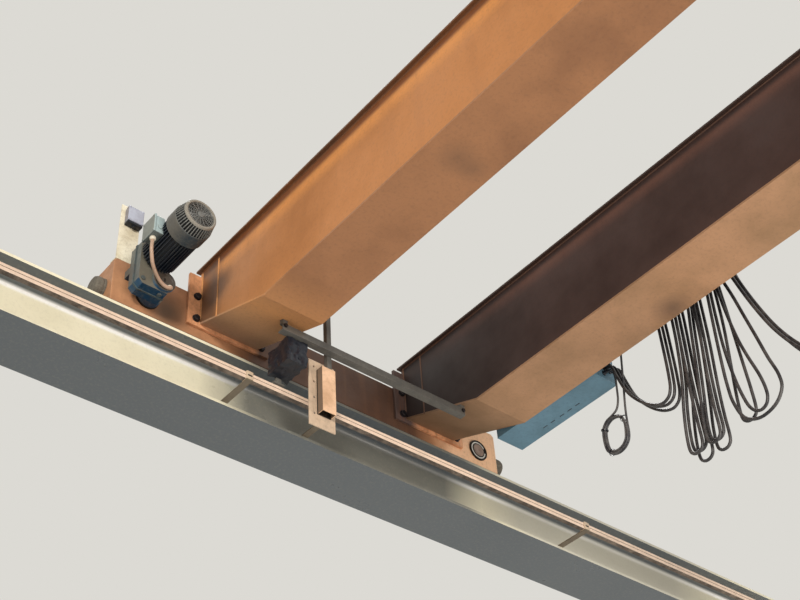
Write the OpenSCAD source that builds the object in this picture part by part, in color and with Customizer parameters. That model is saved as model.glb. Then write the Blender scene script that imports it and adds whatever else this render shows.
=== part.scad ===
// Double-girder overhead travelling crane on two runway beams.
// All sizes are in millimetres. X runs along the runway, Y across the span and Z up.
// The origin lies on the underside of the near runway beam, below the middle of its rail.
// The far runway beam lies one span away along -Y.

/* [Runway] */
// Distance between the centre lines of the two rails
span = 10000; // [8000:100:12000]
// Length of each runway beam
runway_len = 6700; // [5600:100:7000]
// Height of the runway beam section
beam_h = 290; // [260:1:330]
// Width of the runway beam flanges
beam_w = 300; // [260:1:320]
// Thickness of the runway beam flanges
beam_flange = 14; // [10:0.5:20]
// Thickness of the runway beam web
beam_web = 8.5; // [6:0.5:14]
// Radius between web and flange
beam_fillet = 27; // [12:1:30]
// Width of the flat bar rail
rail_w = 50; // [40:1:60]
// Height of the flat bar rail
rail_h = 50; // [30:1:60]
// Radius of the bolt holes in the runway ends
seat_hole_r = 11; // [9:0.5:13]
// Distance between the bolt holes along the runway
seat_pitch_x = 120; // [90:1:160]
// Distance between the bolt holes across the runway
seat_pitch_y = 180; // [140:1:200]
// Distance from the runway end to the middle of its bolt holes
seat_inset = 120; // [90:1:200]

/* [Conductor line] */
// Height of the conductor rail
conductor_h = 33; // [24:1:40]
// Width of the conductor rail
conductor_w = 24; // [18:1:30]
// Distance from the flange edge to the middle of the conductor rail
conductor_out = 168; // [150:1:180]
// Width of a bracket arm that carries the conductor rail
arm_w = 30; // [24:1:60]
// Thickness of a bracket arm
arm_t = 6; // [4:1:8]
// Length of a bracket arm that lies on the runway flange
arm_seat = 60; // [40:1:80]
// Distance between bracket arms
arm_pitch = 1990; // [1600:10:2100]
// Width of the clip that holds the conductor rail on its arm
clip_w = 30; // [20:1:40]
// Thickness of the clip
clip_t = 4; // [3:0.5:6]

/* [End carriages] */
// Distance between the wheel axles of one carriage
wheel_base = 1915; // [1800:1:2000]
// Distance from the middle of the runway to the middle between the wheels
wheel_shift = 28; // [10:1:50]
// Length of the carriage beyond the driven wheel
drive_overhang = 170; // [160:1:240]
// Length of the carriage beyond the idle wheel
idle_overhang = 126; // [126:1:160]
// Width of the carriage box
carriage_w = 180; // [160:1:200]
// Height of the carriage box
carriage_h = 235; // [225:1:260]
// Plate thickness of the carriage box
carriage_wall = 8; // [6:1:12]
// Height of the carriage box above the rail
carriage_clear = 13; // [10:1:20]
// Size of the chamfer on the upper end corners
carriage_chamfer = 14; // [10:1:60]
// Diameter of the rubber buffers
buffer_d = 100; // [70:1:110]
// Length of the rubber buffers at the driven end
buffer_len = 50; // [40:1:80]
// Length of the rubber buffers at the idle end
idle_buffer_len = 100; // [80:1:120]
// Height of the buffers above the carriage floor
buffer_up = 110; // [90:1:120]

/* [Wheels] */
// Tread diameter of the wheels
wheel_d = 200; // [180:1:220]
// Height of the wheel flanges above the tread
wheel_flange = 12; // [8:1:12]
// Thickness of the wheel flanges
wheel_flange_t = 14; // [10:1:16]
// Side clearance between rail and wheel flange
rail_play = 5; // [5:0.5:8]
// Diameter of the axles
axle_d = 70; // [50:1:80]
// Outer diameter of the bearing rings
bearing_d = 112; // [110:1:130]
// Thickness of the bearing rings
bearing_t = 10; // [8:1:14]

/* [Girders] */
// Distance between the centre lines of the two girders
girder_gauge = 1175; // [1000:1:1250]
// Distance from the middle of the runway to the middle between the girders
girder_shift = 68; // [40:1:80]
// Outside width of a girder between its web faces
girder_w = 300; // [260:1:320]
// Height of a girder over its flanges
girder_h = 495; // [440:1:540]
// Height of the girder top above the carriage top
girder_rise = 147; // [120:1:170]
// Thickness of the girder webs
web_t = 8; // [6:1:10]
// Thickness of the girder flanges
flange_t = 10; // [8:1:14]
// Width of the top flange that stands out beside each web
flange_lip = 20; // [12:1:30]
// Length of the top flange beyond the girder end
flange_over = 25; // [15:1:40]
// Length over which the soffit rises towards the girder end
knee_run = 475; // [400:1:550]
// Height by which the soffit rises towards the girder end
knee_rise = 178; // [120:1:200]
// Thickness of the girder end plates
end_plate_t = 15; // [12:1:20]
// Width of the girder end plates
end_plate_w = 430; // [400:1:450]
// Height of the end plate ears
end_plate_h = 292; // [260:1:300]
// Distance between the bolt columns of an end plate
bolt_pitch_x = 344; // [332:1:348]
// Height of the lower bolt row above the foot of the end plate
bolt_up = 39; // [30:1:60]
// Distance between the bolt rows of an end plate
bolt_pitch_z = 126; // [100:1:140]
// Diameter of the bolt heads across their corners
bolt_head_d = 34; // [26:1:38]
// Height of the bolt heads
bolt_head_t = 15; // [12:1:18]
// Width of the crab rail on each girder
crab_rail_w = 40; // [30:1:50]
// Height of the crab rail on each girder
crab_rail_h = 30; // [25:1:40]

/* [Drive] */
// Width of the gear housing along the runway
gear_w = 140; // [120:1:150]
// Depth of the gear housing across the runway
gear_depth = 85; // [75:1:95]
// Height of the gear housing
gear_h = 250; // [235:1:270]
// Height of the gear housing below the wheel axle
gear_drop = 55; // [45:1:60]
// Distance from the axle to the housing side next to the girder
gear_side = 25; // [15:1:40]
// Gap between carriage side and gear housing
gear_gap = 42; // [36:1:60]
// Diameter of the output boss and of its cover
boss_d = 108; // [96:1:112]
// Thickness of the output cover
cover_t = 13; // [8:1:18]
// Height of the motor shaft above the wheel axle
motor_up = 113; // [100:1:125]
// Distance of the motor shaft from the wheel axle along the runway
motor_aside = 36; // [20:1:50]
// Length of the finned motor body
motor_len = 210; // [190:1:240]
// Diameter of the motor body below its fins
motor_core_d = 146; // [130:1:152]
// Diameter of the motor body over its fins
motor_fin_d = 168; // [160:1:172]
// Number of cooling fins
fin_count = 36; // [24:1:48]
// Thickness of a cooling fin
fin_t = 4; // [3:0.5:6]
// Diameter of the fan cover
fan_d = 179; // [174:1:186]
// Length of the fan cover
fan_len = 125; // [100:1:140]
// Chamfer on the fan cover's rear edge
fan_chamfer = 14; // [8:1:20]
// Diameter of the air inlet in the fan cover
fan_inlet_d = 104; // [80:1:120]
// Depth of the air inlet
fan_inlet_depth = 6; // [3:1:10]
// Depth of the terminal box along the runway
terminal_w = 54; // [45:1:60]
// Length of the terminal box along the motor
terminal_len = 95; // [80:1:110]
// Height of the terminal box
terminal_h = 100; // [85:1:115]
// Distance from the gear housing to the terminal box
terminal_from = 76; // [60:1:100]
// Diameter of the motor conduit
conduit_d = 18; // [14:1:20]

/* [Sensor] */
// Width of the sensor plate
sensor_plate_w = 95; // [80:1:100]
// Height of the sensor plate
sensor_plate_h = 327; // [280:1:340]
// Thickness of the sensor plate
sensor_plate_t = 6; // [4:1:8]
// Length of the plate foot on the carriage
sensor_foot = 50; // [40:1:80]
// Distance from the carriage end to the sensor plate
sensor_inset = 5; // [0:1:20]
// Width of the sensor housing
sensor_w = 78; // [60:1:80]
// Depth of the sensor housing
sensor_depth = 35; // [25:1:45]
// Height of the sensor housing
sensor_h = 97; // [80:1:110]

/* [Current collector] */
// Distance from the flange edge to the collector bar
bar_out = 325; // [320:1:380]
// Leg width of the collector bar
bar_leg = 35; // [30:1:50]
// Thickness of the collector bar
bar_t = 6; // [4:1:8]
// Width of the collector plate
collector_w = 135; // [120:1:150]
// Height of the collector plate
collector_h = 340; // [300:1:360]
// Thickness of the collector plate
collector_t = 6; // [4:1:8]
// Radius of the holes in the collector plate
collector_hole_r = 6; // [4:0.5:8]
// Distance between the holes in the collector plate
collector_hole_pitch = 82; // [60:1:90]
// Width of the towing tube
tow_w = 70; // [50:1:80]
// Depth of the towing tube
tow_depth = 40; // [30:1:50]
// Height of the towing tube
tow_h = 232; // [200:1:270]
// Wall thickness of the towing tube
tow_wall = 4; // [3:0.5:5]
// Width of the collector post
post_w = 24; // [20:1:36]
// Distance from the middle of girder 1 to the collector post
post_out = 295; // [280:1:310]
// Distance from the middle of girder 1 to the towing tube
tow_out = 277; // [270:1:290]
// Distance from the middle of girder 1 to the middle of the collector plate
plate_out = 270; // [262:1:280]
// Distance from the plate's edge to the middle of its holes
hole_in = 28; // [16:1:40]
// Distance from the plate's top to the first hole
hole_down = 30; // [20:1:50]
// Length of the collector housing
head_len = 110; // [90:1:120]
// Height of the collector housing
head_h = 130; // [110:1:150]

/* [Control cabinet] */
// Length of the cabinet along the girder
cabinet_len = 617; // [500:1:700]
// Width of the cabinet
cabinet_w = 165; // [140:1:180]
// Height of the cabinet
cabinet_h = 200; // [180:1:240]
// Distance from the carriage side to the cabinet
cabinet_from = 300; // [260:1:340]
// Height of the cabinet floor above the girder soffit
cabinet_up = 30; // [10:1:60]
// Thickness of the brackets between girder web and cabinet
cabinet_gap = 10; // [8:1:16]

/* [Festoon] */
// Distance from the girder web to the festoon track
festoon_out = 110; // [100:1:130]
// Distance from the girder end to the festoon track
track_from = 1025; // [900:5:1060]
// Height of the festoon track below the girder top
festoon_down = 55; // [45:1:80]
// Side length of the festoon track section
track_s = 40; // [30:1:45]
// Wall thickness of the festoon track
track_wall = 3; // [2:0.5:4]
// Diameter of the festoon cables
cable_d = 14; // [10:0.5:14]
// Radius of the cable saddles to the middle of the cable
saddle_r = 40; // [36:1:41]
// Thickness of the cable saddles
saddle_t = 6; // [4:1:8]
// Depth of the saddle centres below the festoon track
saddle_down = 90; // [80:1:100]
// Thickness of the trolley side plates
yoke_t = 6; // [4:1:6]
// Distance between the parked cable trolleys
trolley_pitch = 101; // [100:1:112]

/* [Hidden] */
$fn = 64;
eps = 0.01;
wheel_gap = 0.3;
hub_play = 5;
running_gap = 0.05;
rail_top = beam_h + rail_h;
axle_z = rail_top + wheel_gap + wheel_d / 2;
carriage_z = rail_top + carriage_clear;
carriage_top = carriage_z + carriage_h;
drive_x = wheel_shift - wheel_base / 2;
idle_x = wheel_shift + wheel_base / 2;
carriage_x0 = drive_x - drive_overhang;
carriage_x1 = idle_x + idle_overhang;
flange_edge = -beam_w / 2;
inner_side = -carriage_w / 2;
girder_top = carriage_top + girder_rise;
soffit_z = girder_top - girder_h;
girder_end = inner_side - end_plate_t;
girder_mid = -span / 2;
girder_1_x = girder_shift - girder_gauge / 2;
girder_2_x = girder_1_x + girder_gauge;
BEAM_GREY = [0.62, 0.60, 0.52];
STEEL_GREY = [0.42, 0.41, 0.38];
CRANE_ORANGE = [0.80, 0.44, 0.16];
DARK_STEEL = [0.20, 0.20, 0.20];
COPPER_PINK = [0.85, 0.68, 0.55];
GEAR_BLUE = [0.16, 0.32, 0.42];
MOTOR_NAVY = [0.12, 0.17, 0.26];
CREAM = [0.82, 0.78, 0.64];
CABINET_BLUE = [0.24, 0.42, 0.52];
CABLE_GREY = [0.35, 0.34, 0.33];
RUBBER_GREY = [0.36, 0.35, 0.33];

// Places the children at the far runway, as a mirror image
module far_side() {
    translate([0, -span, 0]) mirror([0, 1, 0]) children();
}

// Places the children once at each runway
module both_sides() {
    children();
    far_side() children();
}

// Extrudes an outline drawn in Y and Z along the runway from x = from
module along_x(from, length) {
    translate([from, 0, 0]) rotate([90, 0, 90]) linear_extrude(length) children();
}

// Rolled I section with rounded roots, standing on its lower flange
module beam_section() {
    inner_h = beam_h - 2 * beam_flange;
    difference() {
        translate([-beam_w / 2, 0]) square([beam_w, beam_h]);
        for (side = [-1, 1])
            difference() {
                translate([side > 0 ? beam_web / 2 : -beam_w / 2 - eps, beam_flange])
                    square([beam_w / 2 - beam_web / 2 + eps, inner_h]);
                for (up = [0, 1])
                    translate([side * beam_web / 2, up > 0 ? beam_h - beam_flange : beam_flange])
                        mirror([side > 0 ? 0 : 1, 0]) mirror([0, up])
                            difference() {
                                translate([-eps, -eps]) square(beam_fillet + eps);
                                translate([beam_fillet, beam_fillet]) circle(beam_fillet);
                            }
            }
    }
}

// Four holes for the seat bolts, at one end of a runway beam
module seat_holes(end) {
    translate([end * (runway_len / 2 - seat_inset), 0, -eps])
        for (i = [-1, 1], j = [-1, 1])
            translate([i * seat_pitch_x / 2, j * seat_pitch_y / 2, 0])
                cylinder(r = seat_hole_r, h = beam_flange + 2 * eps);
}

module runway_beam() {
    color(BEAM_GREY) difference() {
        along_x(-runway_len / 2, runway_len) beam_section();
        seat_holes(-1);
        seat_holes(1);
    }
}

module rail() {
    color(STEEL_GREY) translate([-runway_len / 2, -rail_w / 2, beam_h])
        cube([runway_len, rail_w, rail_h]);
}

conductor_y = flange_edge - conductor_out;
conductor_z = beam_flange + arm_t;

// Insulated conductor bar with a groove along each side
module conductor_rail() {
    groove = conductor_h / 6;
    color(COPPER_PINK) along_x(-runway_len / 2, runway_len)
        translate([conductor_y, conductor_z])
            difference() {
                translate([-conductor_w / 2, 0]) square([conductor_w, conductor_h]);
                for (side = [-1, 1])
                    translate([side * conductor_w / 2, conductor_h / 2])
                        square(groove, center = true);
            }
}

// Flat arm on the runway flange with the clip that holds the conductor
module conductor_bracket() {
    reach = conductor_out + conductor_w / 2 + clip_t;
    translate([-arm_w / 2, flange_edge - reach, beam_flange])
        cube([arm_w, reach + arm_seat, arm_t]);
    translate([-clip_w / 2, conductor_y, conductor_z])
        difference() {
            translate([0, -conductor_w / 2 - clip_t, 0])
                cube([clip_w, conductor_w + 2 * clip_t, conductor_h + clip_t]);
            translate([-eps, -conductor_w / 2, -eps])
                cube([clip_w + 2 * eps, conductor_w, conductor_h + eps]);
        }
}

arm_x = [-1.28 * arm_pitch, -0.28 * arm_pitch, -0.07 * arm_pitch, 0.72 * arm_pitch];

module conductor_brackets() {
    color(DARK_STEEL) for (x = arm_x) translate([x, 0, 0]) conductor_bracket();
}

// Outline of the carriage box in X and Z, moved inwards by inset
module carriage_outline(inset) {
    corner = carriage_chamfer + inset * (sqrt(2) - 1);
    x0 = carriage_x0 + inset;
    x1 = carriage_x1 - inset;
    z0 = carriage_z + inset;
    z1 = carriage_top - inset;
    cut = corner - inset;
    polygon([
        [x0, z0], [x1, z0], [x1, z1 - cut], [x1 - cut, z1],
        [x0 + cut, z1], [x0, z1 - cut]
    ]);
}

wheel_r = wheel_d / 2;
wheel_pocket = wheel_r - carriage_clear + wheel_flange;

// Welded box with open pockets over the wheels
module carriage() {
    inner_w = carriage_w - 2 * carriage_wall;
    color(CRANE_ORANGE) difference() {
        rotate([90, 0, 0]) linear_extrude(carriage_w, center = true) carriage_outline(0);
        rotate([90, 0, 0]) linear_extrude(inner_w, center = true) carriage_outline(carriage_wall);
        for (x = [drive_x, idle_x]) {
            translate([x - wheel_pocket, -inner_w / 2, carriage_z - eps])
                cube([2 * wheel_pocket, inner_w, carriage_wall + 2 * eps]);
            translate([x, carriage_w / 2 + eps, axle_z]) rotate([90, 0, 0])
                cylinder(d = axle_d + 20, h = carriage_w + 2 * eps);
        }
    }
}

buffer_z = carriage_z + buffer_up;

module buffers() {
    color(RUBBER_GREY) both_sides() {
        translate([carriage_x0 - buffer_len, 0, buffer_z]) rotate([0, 90, 0])
            cylinder(d = buffer_d, h = buffer_len);
        translate([carriage_x1, 0, buffer_z]) rotate([0, 90, 0])
            cylinder(d = buffer_d, h = idle_buffer_len);
    }
}

// Ring on the carriage side that holds an axle bearing
module bearing_ring() {
    rotate([90, 0, 0]) difference() {
        cylinder(d = bearing_d, h = bearing_t);
        translate([0, 0, -eps])
            cylinder(d = axle_d + 2 * running_gap, h = bearing_t + 2 * eps);
    }
}

module bearing_rings() {
    color(DARK_STEEL) both_sides()
        for (x = [drive_x, idle_x]) {
            translate([x, inner_side, axle_z]) bearing_ring();
            translate([x, -inner_side + bearing_t, axle_z]) bearing_ring();
        }
}

// Flanged wheel with its axle; axle_in is how far the axle reaches inwards
module wheel(axle_in) {
    tread = rail_w / 2 + rail_play;
    rim = tread + wheel_flange_t;
    hub = carriage_w / 2 - carriage_wall - hub_play;
    axle_out = carriage_w / 2 + bearing_t - 3;
    color(STEEL_GREY) rotate([90, 0, 0]) rotate_extrude()
        polygon([
            [0, -axle_out], [axle_d / 2, -axle_out], [axle_d / 2, -hub],
            [axle_d / 2 + 12, -hub], [axle_d / 2 + 12, -rim],
            [wheel_r + wheel_flange - 4, -rim], [wheel_r + wheel_flange, -rim + 4],
            [wheel_r + wheel_flange, -tread - 2], [wheel_r, -tread],
            [wheel_r, tread], [wheel_r + wheel_flange, tread + 2],
            [wheel_r + wheel_flange, rim - 4], [wheel_r + wheel_flange - 4, rim],
            [axle_d / 2 + 12, rim], [axle_d / 2 + 12, hub],
            [axle_d / 2, hub], [axle_d / 2, axle_in], [0, axle_in]
        ]);
}

gear_back = carriage_w / 2 + gear_gap;
gear_front = gear_back + gear_depth;
drive_axle_in = gear_front - 1;
idle_axle_in = carriage_w / 2 + bearing_t - 3;

module wheel_near_drive() { translate([drive_x, 0, axle_z]) wheel(drive_axle_in); }
module wheel_near_idle() { translate([idle_x, 0, axle_z]) wheel(idle_axle_in); }
module wheel_far_drive() { far_side() wheel_near_drive(); }
module wheel_far_idle() { far_side() wheel_near_idle(); }

end_soffit_z = soffit_z + knee_rise;
knee_y = girder_end - knee_run;
far_girder_end = -span - girder_end;
far_knee_y = -span - knee_y;

// Points of the soffit line from the near end to the far end, raised by up
function soffit_line(up) = [
    [girder_end, end_soffit_z + up], [knee_y, soffit_z + up],
    [far_knee_y, soffit_z + up], [far_girder_end, end_soffit_z + up]
];

function reversed(list) = [for (i = [len(list) - 1 : -1 : 0]) list[i]];

// Bent plate that closes a girder from below
module girder_soffit(x) {
    color(CRANE_ORANGE) along_x(x - girder_w / 2, girder_w)
        polygon(concat(soffit_line(0), reversed(soffit_line(flange_t))));
}

// The two side plates of a girder
module girder_webs(x) {
    web_top = girder_top - flange_t;
    outline = concat(
        soffit_line(flange_t), [[far_girder_end, web_top], [girder_end, web_top]]
    );
    color(CRANE_ORANGE) {
        along_x(x - girder_w / 2, web_t) polygon(outline);
        along_x(x + girder_w / 2 - web_t, web_t) polygon(outline);
    }
}

module girder_top_flange(x) {
    width = girder_w + 2 * flange_lip;
    color(CRANE_ORANGE) translate([x - width / 2, far_girder_end - flange_over, girder_top - flange_t])
        cube([width, girder_end - far_girder_end + 2 * flange_over, flange_t]);
}

end_plate_drop = 18;
end_plate_z = end_soffit_z - end_plate_drop;

// Plate with a bolt ear on each side, at one end of a girder
module girder_end_plate(x) {
    translate([x - end_plate_w / 2, girder_end, end_plate_z])
        cube([end_plate_w, end_plate_t, end_plate_h]);
    translate([x - girder_w / 2, girder_end, end_plate_z])
        cube([girder_w, end_plate_t, girder_top - flange_t - end_plate_z]);
}

module girder_end_plates() {
    color(CRANE_ORANGE) both_sides()
        for (x = [girder_1_x, girder_2_x]) girder_end_plate(x);
}

bolt_z = end_plate_z + bolt_up + bolt_pitch_z / 2;

module girder_bolts() {
    color(DARK_STEEL) both_sides()
        for (x = [girder_1_x, girder_2_x], i = [-1, 1], j = [-0.5, 0.5])
            translate([x + i * bolt_pitch_x / 2, girder_end, bolt_z + j * bolt_pitch_z])
                rotate([90, 0, 0]) cylinder(d = bolt_head_d, h = bolt_head_t, $fn = 6);
}

module crab_rails() {
    color(STEEL_GREY) for (x = [girder_1_x, girder_2_x])
        translate([x - crab_rail_w / 2, far_girder_end - flange_over, girder_top])
            cube([crab_rail_w, girder_end - far_girder_end + 2 * flange_over, crab_rail_h]);
}

gear_x1 = drive_x + gear_side;
gear_z = axle_z - gear_drop;
motor_x = drive_x - motor_aside;
motor_z = axle_z + motor_up;
motor_front = -gear_front - motor_len;
cover_gap = 2;
neck_len = cover_t + cover_gap;
neck_d = min(motor_core_d, 2 * (norm([motor_aside, motor_up]) - boss_d / 2 - cover_gap));
seat_cut = 2;
seat_x = motor_x - motor_core_d / 2 + seat_cut;
terminal_lift = 17;
terminal_y = -gear_front - terminal_from;
terminal_z = motor_z + terminal_lift - terminal_h / 2;

// Gear housing with its output boss, torque arm and round output cover
module gear_unit() {
    arm = gear_w / 3.5;
    bevel = gear_w / 7;
    color(GEAR_BLUE) difference() {
        union() {
            translate([0, -gear_back, 0]) rotate([90, 0, 0]) linear_extrude(gear_depth)
                polygon([
                    [gear_x1 - gear_w + bevel, gear_z], [gear_x1, gear_z],
                    [gear_x1, gear_z + gear_h - bevel], [gear_x1 - bevel, gear_z + gear_h],
                    [gear_x1 - gear_w + bevel, gear_z + gear_h],
                    [gear_x1 - gear_w, gear_z + gear_h - bevel], [gear_x1 - gear_w, gear_z + bevel]
                ]);
            translate([drive_x, inner_side - bearing_t, axle_z]) rotate([90, 0, 0])
                cylinder(d = boss_d, h = gear_gap - bearing_t);
            translate([gear_x1 - gear_w, -gear_back, carriage_top - bevel - 2 * arm])
                cube([arm, gear_gap, arm]);
        }
        translate([drive_x, inner_side, axle_z]) rotate([90, 0, 0])
            cylinder(d = axle_d + 2 * running_gap, h = gear_gap + gear_depth + eps);
    }
    color(GEAR_BLUE) translate([drive_x, -gear_front, axle_z]) rotate([90, 0, 0])
        cylinder(d = boss_d, h = cover_t);
}

// Motor body with cooling fins, cut flat where the terminal box sits; a round neck
// carries it past the output cover
module drive_motor() {
    fin_h = (motor_fin_d - motor_core_d) / 2;
    color(MOTOR_NAVY) difference() {
        translate([motor_x, -gear_front, motor_z]) rotate([90, 0, 0]) {
            cylinder(d = neck_d, h = neck_len + eps);
            translate([0, 0, neck_len]) linear_extrude(motor_len - neck_len) {
                circle(d = motor_core_d);
                for (i = [0 : fin_count - 1]) rotate(i * 360 / fin_count)
                    translate([motor_core_d / 2 - fin_h, -fin_t / 2]) square([2 * fin_h, fin_t]);
            }
        }
        translate([seat_x - motor_fin_d, terminal_y - terminal_len, terminal_z])
            cube([motor_fin_d, terminal_len, terminal_h]);
    }
}

module fan_cover() {
    translate([motor_x, motor_front, motor_z]) rotate([90, 0, 0]) rotate_extrude()
        polygon([
            [0, 0], [fan_d / 2, 0], [fan_d / 2, fan_len - fan_chamfer],
            [fan_d / 2 - fan_chamfer, fan_len], [fan_inlet_d / 2, fan_len],
            [fan_inlet_d / 2, fan_len - fan_inlet_depth], [0, fan_len - fan_inlet_depth]
        ]);
}

module fan_covers() {
    color(MOTOR_NAVY) both_sides() fan_cover();
}

module terminal_boxes() {
    color(CREAM) both_sides()
        translate([seat_x - terminal_w, terminal_y - terminal_len, terminal_z])
            cube([terminal_w, terminal_len, terminal_h]);
}

// Unit vector from one point to another
function towards(a, b) = (b - a) / norm(b - a);

// Direction of a route at its point i
function heading(route, i) =
    i == 0 ? towards(route[0], route[1]) :
    i == len(route) - 1 ? towards(route[i - 1], route[i]) :
    towards(route[i - 1], route[i + 1]);

// Side vector of a cable that hangs in a plane square to the runway or close to it
function side_of(dir) =
    let (flat = cross(dir, [1, 0, 0]))
    norm(flat) > 0.2 ? flat / norm(flat) : cross(dir, [0, 0, 1]) / norm(cross(dir, [0, 0, 1]));

// Points of the ring at point i of a route
function ring(route, i, d, sides) =
    let (dir = heading(route, i), u = side_of(dir), v = cross(u, dir))
    [for (k = [0 : sides - 1])
        route[i] + d / 2 * (cos(k * 360 / sides) * u + sin(k * 360 / sides) * v)];

// Round tube swept along a route of points
module tube_along(route, d, sides = 8) {
    n = len(route);
    points = [for (i = [0 : n - 1]) each ring(route, i, d, sides)];
    walls = [for (i = [0 : n - 2], k = [0 : sides - 1])
        let (a = i * sides + k, b = i * sides + (k + 1) % sides)
        each [[a, b, a + sides], [b, b + sides, a + sides]]];
    first = [for (k = [sides - 1 : -1 : 0]) k];
    last = [for (k = [0 : sides - 1]) (n - 1) * sides + k];
    polyhedron(points = points, faces = concat(walls, [first, last]), convexity = 10);
}

// Way of the motor conduit, from the terminal box down to the output cover, seen
// from the middle of the gear housing's front
conduit_way = [
    [-136.5, -128, 79.7], [-137.5, -128, 49.7], [-136.5, -126, 21.7], [-130.5, -121, -3.3],
    [-112.5, -101, -26.3], [-85.5, -76, -36.3], [-56.5, -53, -41.3], [-31.5, -38, -45.3],
    [-8.5, -30, -47.3], [12.5, -26, -44.3], [24.5, -24.4, -38.3], [26.5, -21.5, -30.3]
];
conduit_route = [for (p = conduit_way) [drive_x + p[0], p[1] - gear_front, axle_z + p[2]]];

module motor_conduits() {
    color(COPPER_PINK) both_sides() tube_along(conduit_route, conduit_d, 12);
}

sensor_x = carriage_x0 + sensor_inset;

// Upright plate with a foot on the carriage top
module sensor_plate() {
    color(CREAM) translate([sensor_x, inner_side, carriage_top]) {
        cube([sensor_plate_w, sensor_plate_t, sensor_plate_h]);
        cube([sensor_plate_w, sensor_foot, sensor_plate_t]);
    }
}

module sensor_housing() {
    color([0.60, 0.60, 0.68]) translate([
        sensor_x + sensor_plate_w - sensor_w, inner_side - sensor_depth,
        carriage_top + sensor_plate_h - sensor_h * 1.25
    ]) cube([sensor_w, sensor_depth, sensor_h]);
}

bar_y = flange_edge - bar_out;
bar_down = 15;
pad_w = 25;
bar_z = soffit_z - bar_down;
bar_x0 = girder_1_x + pad_w;
bar_x1 = girder_2_x - girder_w / 2 + pad_w;

// Height of the rising soffit above a place y near the near end
function soffit_at(y) = soffit_z + (y - knee_y) * knee_rise / knee_run;

// Angle bar under both girders with a wedge pad at each end
module collector_bar() {
    top = bar_z + bar_leg;
    pad = 2 * bar_leg / 3;
    color(DARK_STEEL) {
        translate([bar_x0, bar_y, bar_z]) cube([bar_x1 - bar_x0, bar_t, bar_leg]);
        translate([bar_x0, bar_y, bar_z]) cube([bar_x1 - bar_x0, bar_leg, bar_t]);
        for (x = [bar_x0, bar_x1 - pad_w])
            along_x(x, pad_w) polygon([
                [bar_y, top], [bar_y + pad, top],
                [bar_y + pad, soffit_at(bar_y + pad)], [bar_y, soffit_at(bar_y)]
            ]);
    }
}

post_x = girder_1_x + post_out;
post_y0 = bar_y + bar_leg;
post_y1 = post_y0 + post_w;
tow_down = 80;
post_down = 135;
tow_top = bar_z - tow_down;
post_top = girder_top - post_down;

// Post that hangs from girder 1 and stands on the towing tube
module collector_post() {
    web_face = girder_1_x + girder_w / 2;
    color(DARK_STEEL) {
        translate([post_x - post_w / 2, post_y0, tow_top])
            cube([post_w, post_w, post_top - tow_top]);
        translate([web_face, post_y0, post_top - post_w])
            cube([post_x - web_face, post_w, post_w]);
    }
}

plate_down = 33;
plate_x0 = girder_1_x + plate_out - collector_w / 2;
plate_top = bar_z - plate_down;

// Hanging plate with a column of holes
module collector_plate() {
    color(CREAM) difference() {
        translate([plate_x0, post_y1, plate_top - collector_h])
            cube([collector_w, collector_t, collector_h]);
        for (i = [0 : 3])
            translate([plate_x0 + hole_in, post_y1 - eps, plate_top - hole_down - i * collector_hole_pitch])
                rotate([-90, 0, 0]) cylinder(r = collector_hole_r, h = collector_t + 2 * eps);
    }
}

// Open rectangular tube on the hanging plate, under the post
module towing_tube() {
    x0 = girder_1_x + tow_out - tow_w / 2;
    color(COPPER_PINK) translate([x0, post_y1 - tow_depth, tow_top - tow_h])
        difference() {
            cube([tow_w, tow_depth, tow_h]);
            translate([tow_wall, tow_wall, -eps])
                cube([tow_w - 2 * tow_wall, tow_depth - 2 * tow_wall, tow_h - tow_wall]);
        }
}

head_out = 60;
head_seat = 20;
shoe_up = 9;
head_x0 = girder_1_x + head_out;

// Collector housing under the bar with its shoe above the conductor
module collector_head() {
    shoe_z = conductor_z + conductor_h + clip_t + shoe_up;
    shoe_y = conductor_y - conductor_w / 2;
    head_y = post_y0 - head_seat;
    head_z = bar_z - head_h;
    color([0.10, 0.12, 0.18]) {
        translate([head_x0, head_y, head_z])
            cube([head_len, shoe_y + conductor_w - head_y, head_h]);
        translate([head_x0 + head_len / 4, shoe_y, shoe_z])
            cube([head_len / 2, conductor_w, head_z - shoe_z]);
    }
}

cabinet_x0 = girder_2_x + girder_w / 2 + cabinet_gap;
cabinet_y1 = inner_side - cabinet_from;
cabinet_y0 = cabinet_y1 - cabinet_len;
cabinet_z = soffit_z + cabinet_up;

module control_cabinet() {
    color(CABINET_BLUE) translate([cabinet_x0, cabinet_y0, cabinet_z])
        cube([cabinet_w, cabinet_len, cabinet_h]);
}

bracket_w = 40;
bracket_in = 30;

module cabinet_brackets() {
    color(DARK_STEEL) for (share = [0.25, 0.75])
        translate([
            cabinet_x0 - cabinet_gap, cabinet_y0 + share * cabinet_len, cabinet_z + bracket_in
        ]) cube([cabinet_gap, bracket_w, cabinet_h - 2 * bracket_in]);
}

track_x = girder_2_x + girder_w / 2 + festoon_out;
track_z1 = girder_top - festoon_down;
track_z0 = track_z1 - track_s;
track_y1 = girder_end - track_from;
track_y0 = -span - track_y1;
saddle_z = track_z0 - saddle_down;

// C-shaped track with its slot below
module festoon_track() {
    slot = track_s / 3;
    color(STEEL_GREY) translate([track_x, track_y1, 0]) rotate([90, 0, 0])
        linear_extrude(track_y1 - track_y0) difference() {
            translate([-track_s / 2, track_z0]) square(track_s);
            translate([-track_s / 2 + track_wall, track_z0 + track_wall])
                square(track_s - 2 * track_wall);
            translate([-slot / 2, track_z0 - eps]) square([slot, track_wall + 2 * eps]);
        }
}

bracket_count = 6;
hanger_w = 50;
hanger_t = 8;
hanger_from = 125;

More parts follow.
